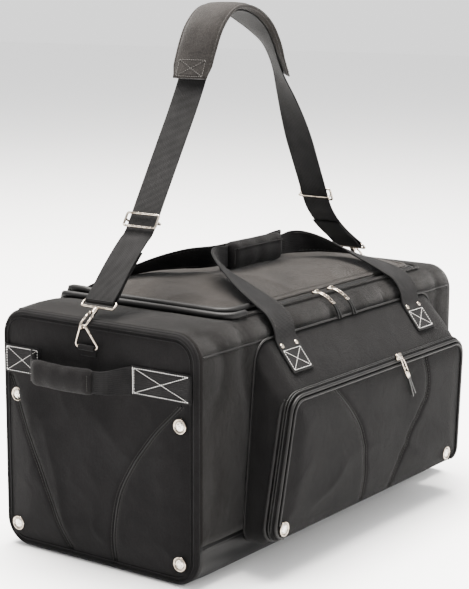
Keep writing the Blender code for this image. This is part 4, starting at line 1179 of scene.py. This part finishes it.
def make_adjuster(word, foot, top):
    along = Vector((top[0] - foot[0], 0, top[1] - foot[1])).normalized()
    at = Vector((foot[0], STRAP_Y, foot[1])) + along * 0.0145
    normal = along.cross(ACROSS) * (1 if word == "left" else -1)
    half, reach, stand = 0.0285, 0.010, 0.0045
    loop = rounded_box(half, -reach, reach, 0.003, 6)
    ring = closed_path([at + ACROSS * y + along * t + normal * stand for y, t in loop], 0.004)
    body = "adjuster_" + word
    tube("adjuster_frame_" + word, ring, 0.0017, body, NICKEL, (body,), closed=True, sides=12)
    bends = ((-half, stand), (-half, -stand + 0.001), (-half + 0.001, -stand), (0, -stand),
             (half - 0.001, -stand), (half, -stand + 0.001), (half, stand))
    bar = smooth_path([at + ACROSS * y + normal * n for y, n in bends], 0.002)
    tube("adjuster_bar_" + word, bar, 0.0016, body, NICKEL, sides=12)


def make_strap():
    path = smooth_path(STRAP_ROUTE, 0.006, 2)
    left_eye, right_eye = (foot - down * 0.0132 for foot, down, out in (hook_frame(-1), hook_frame(1)))
    start, end = folded_end(path, left_eye, True), folded_end(path, right_eye, False)
    centre = start + [strap_point(path, i) for i in range(len(path))] + end
    across = [ACROSS] * len(start) + [turn_frame(path, i)[1] for i in range(len(path))] + [ACROSS] * len(end)
    band("strap_web", centre, across, [WEBBING] * len(centre), WEB_THICK, "strap", WEB, ("strap_webbing",))
    make_shoulder_pad(path)
    make_adjuster("left", LINE_FOOT, LINE_TOP)
    make_adjuster("right", RIGHT_FOOT, RIGHT_TOP)


def make_hook(side, word):
    """An eye, a snap hook with its swivel and gate, a triangular ring and the tab that holds it."""
    foot, down, out = hook_frame(side)
    hook = word + "_hook"

    def at(u, v, y=0.0):
        return foot + down * u + out * v + ACROSS * y

    def wire(name, path, radius, body, replaced=(), closed=False, sides=12):
        tube(word + name, path, radius, body, NICKEL, replaced, closed, sides)

    loop = rounded_box(0.0285, -0.0132, -0.0022, 0.003, 6)
    ring = closed_path([at(u, 0, y) for y, u in loop], 0.004)
    wire("_eye_wire", ring, EYE_WIRE, "strap", (word + "_eye",), True)
    arc = [math.radians(-90 + 15 * k) for k in range(13)]
    bends = [at(0.0135, 0.0060), at(0.0105, 0.0042), at(0.0088, 0.0015), at(0.0095, -0.0010),
             at(0.0120, -0.0020), at(0.0230, -0.0020)]
    bends += [at(0.034 + math.cos(a) * 0.005, 0.003 + math.sin(a) * 0.005) for a in arc] + [at(0.0285, 0.008)]
    wire("_hook_wire", smooth_path(bends, 0.001), 0.0018, hook, (hook,))
    post = [at(u, 0) for u in (0.0002, 0.0010, 0.0030, 0.0060, 0.0085, 0.0098)]
    wire("_hook_swivel", post, 0.0036, hook, sides=16)
    wire("_hook_collar", [at(u, 0) for u in (0.0036, 0.0040, 0.0056, 0.0060)], 0.0043, hook, sides=16)
    gate = [at(0.0162, 0.0072), at(0.0216, 0.0076), at(0.0272, 0.008)]
    wire("_gate_wire", gate, 0.0016, word + "_gate", (word + "_gate",))
    # the ring leans outward, with its rounded tip inside the hook's bend
    tall, half_base, tip, lean_by = 0.0411, 0.0215, 0.006, math.asin(0.25)
    lean = Vector((side * math.sin(lean_by), 0, math.cos(lean_by)))
    base = at(0.034, 0.003) - lean * (tall - tip * (1 / math.sin(math.atan(half_base / tall)) - 1))
    loop = rounded([(-half_base, 0), (half_base, 0), (0, tall)], [0.004, 0.004, tip], 8)
    ring = closed_path([base + ACROSS * y + lean * t for y, t in loop], 0.003)
    wire("_ring_wire", ring, 0.0016, word + "_ring", (word + "_ring",), True)
    # the tab is looped round the ring's straight side and sewn to the end panel
    face, r = side * (END_X + 0.0018), 0.0033
    turn = [math.radians(180 - 15 * k) for k in range(17)]
    keys = [(face, STRAP_Y, 0.2990), (face, STRAP_Y, base.z - 0.006)]
    keys += [(base.x + side * r * math.cos(a), STRAP_Y, base.z + r * math.sin(a)) for a in turn]
    path = smooth_path(keys, 0.002)
    band(word + "_ring_loop", path, [ACROSS] * len(path), [0.028] * len(path), 0.0016, "bag",
         ("tarpaulin", END[1]), (word + "_ring_tab",))


# ---- surroundings --------------------------------------------------------------------------------
def area_light(name, location, target, size, power, colour):
    data = bpy.data.lights.new(name, "AREA")
    data.shape, data.size, data.energy, data.color = "SQUARE", size, power, colour
    lamp = bpy.data.objects.new(name, data)
    lamp.location = location
    lamp.rotation_euler = (Vector(target) - Vector(location)).to_track_quat("-Z", "Y").to_euler()
    bpy.context.scene.collection.objects.link(lamp)


def make_surroundings():
    bpy.ops.mesh.primitive_plane_add(size=30, location=(0, 0, -0.0005))
    floor = bpy.context.object
    floor.name = "floor"
    paint = Paint("floor_paint", 0.75)
    paint.inputs["Base Color"].default_value = (0.94, 0.94, 0.94, 1)
    floor.data.materials.append(paint.made)
    world = bpy.data.worlds.new("studio")
    bpy.context.scene.world = world
    world.use_nodes = True
    backdrop = world.node_tree.nodes["Background"]
    backdrop.inputs["Color"].default_value = (1.0, 1.0, 1.0, 1)
    backdrop.inputs["Strength"].default_value = 1.55
    area_light("top", (0.4, 0.6, 4.2), (0, 0, 0.3), 3.0, 1600, (1.0, 0.965, 0.92))
    area_light("front", (0.9, -2.6, 1.3), (0, 0, 0.2), 1.2, 40, (1.0, 0.98, 0.96))


make_camera()
make_body()
for SIDE, WORD in ((-1, "left"), (1, "right")):
    make_end_panel(SIDE, WORD)
    make_end_fittings(SIDE, WORD)
make_lid()
make_lid_sliders()
make_pocket()
make_handles()
make_strap()
for SIDE, WORD in ((-1, "left"), (1, "right")):
    make_hook(SIDE, WORD)
make_surroundings()
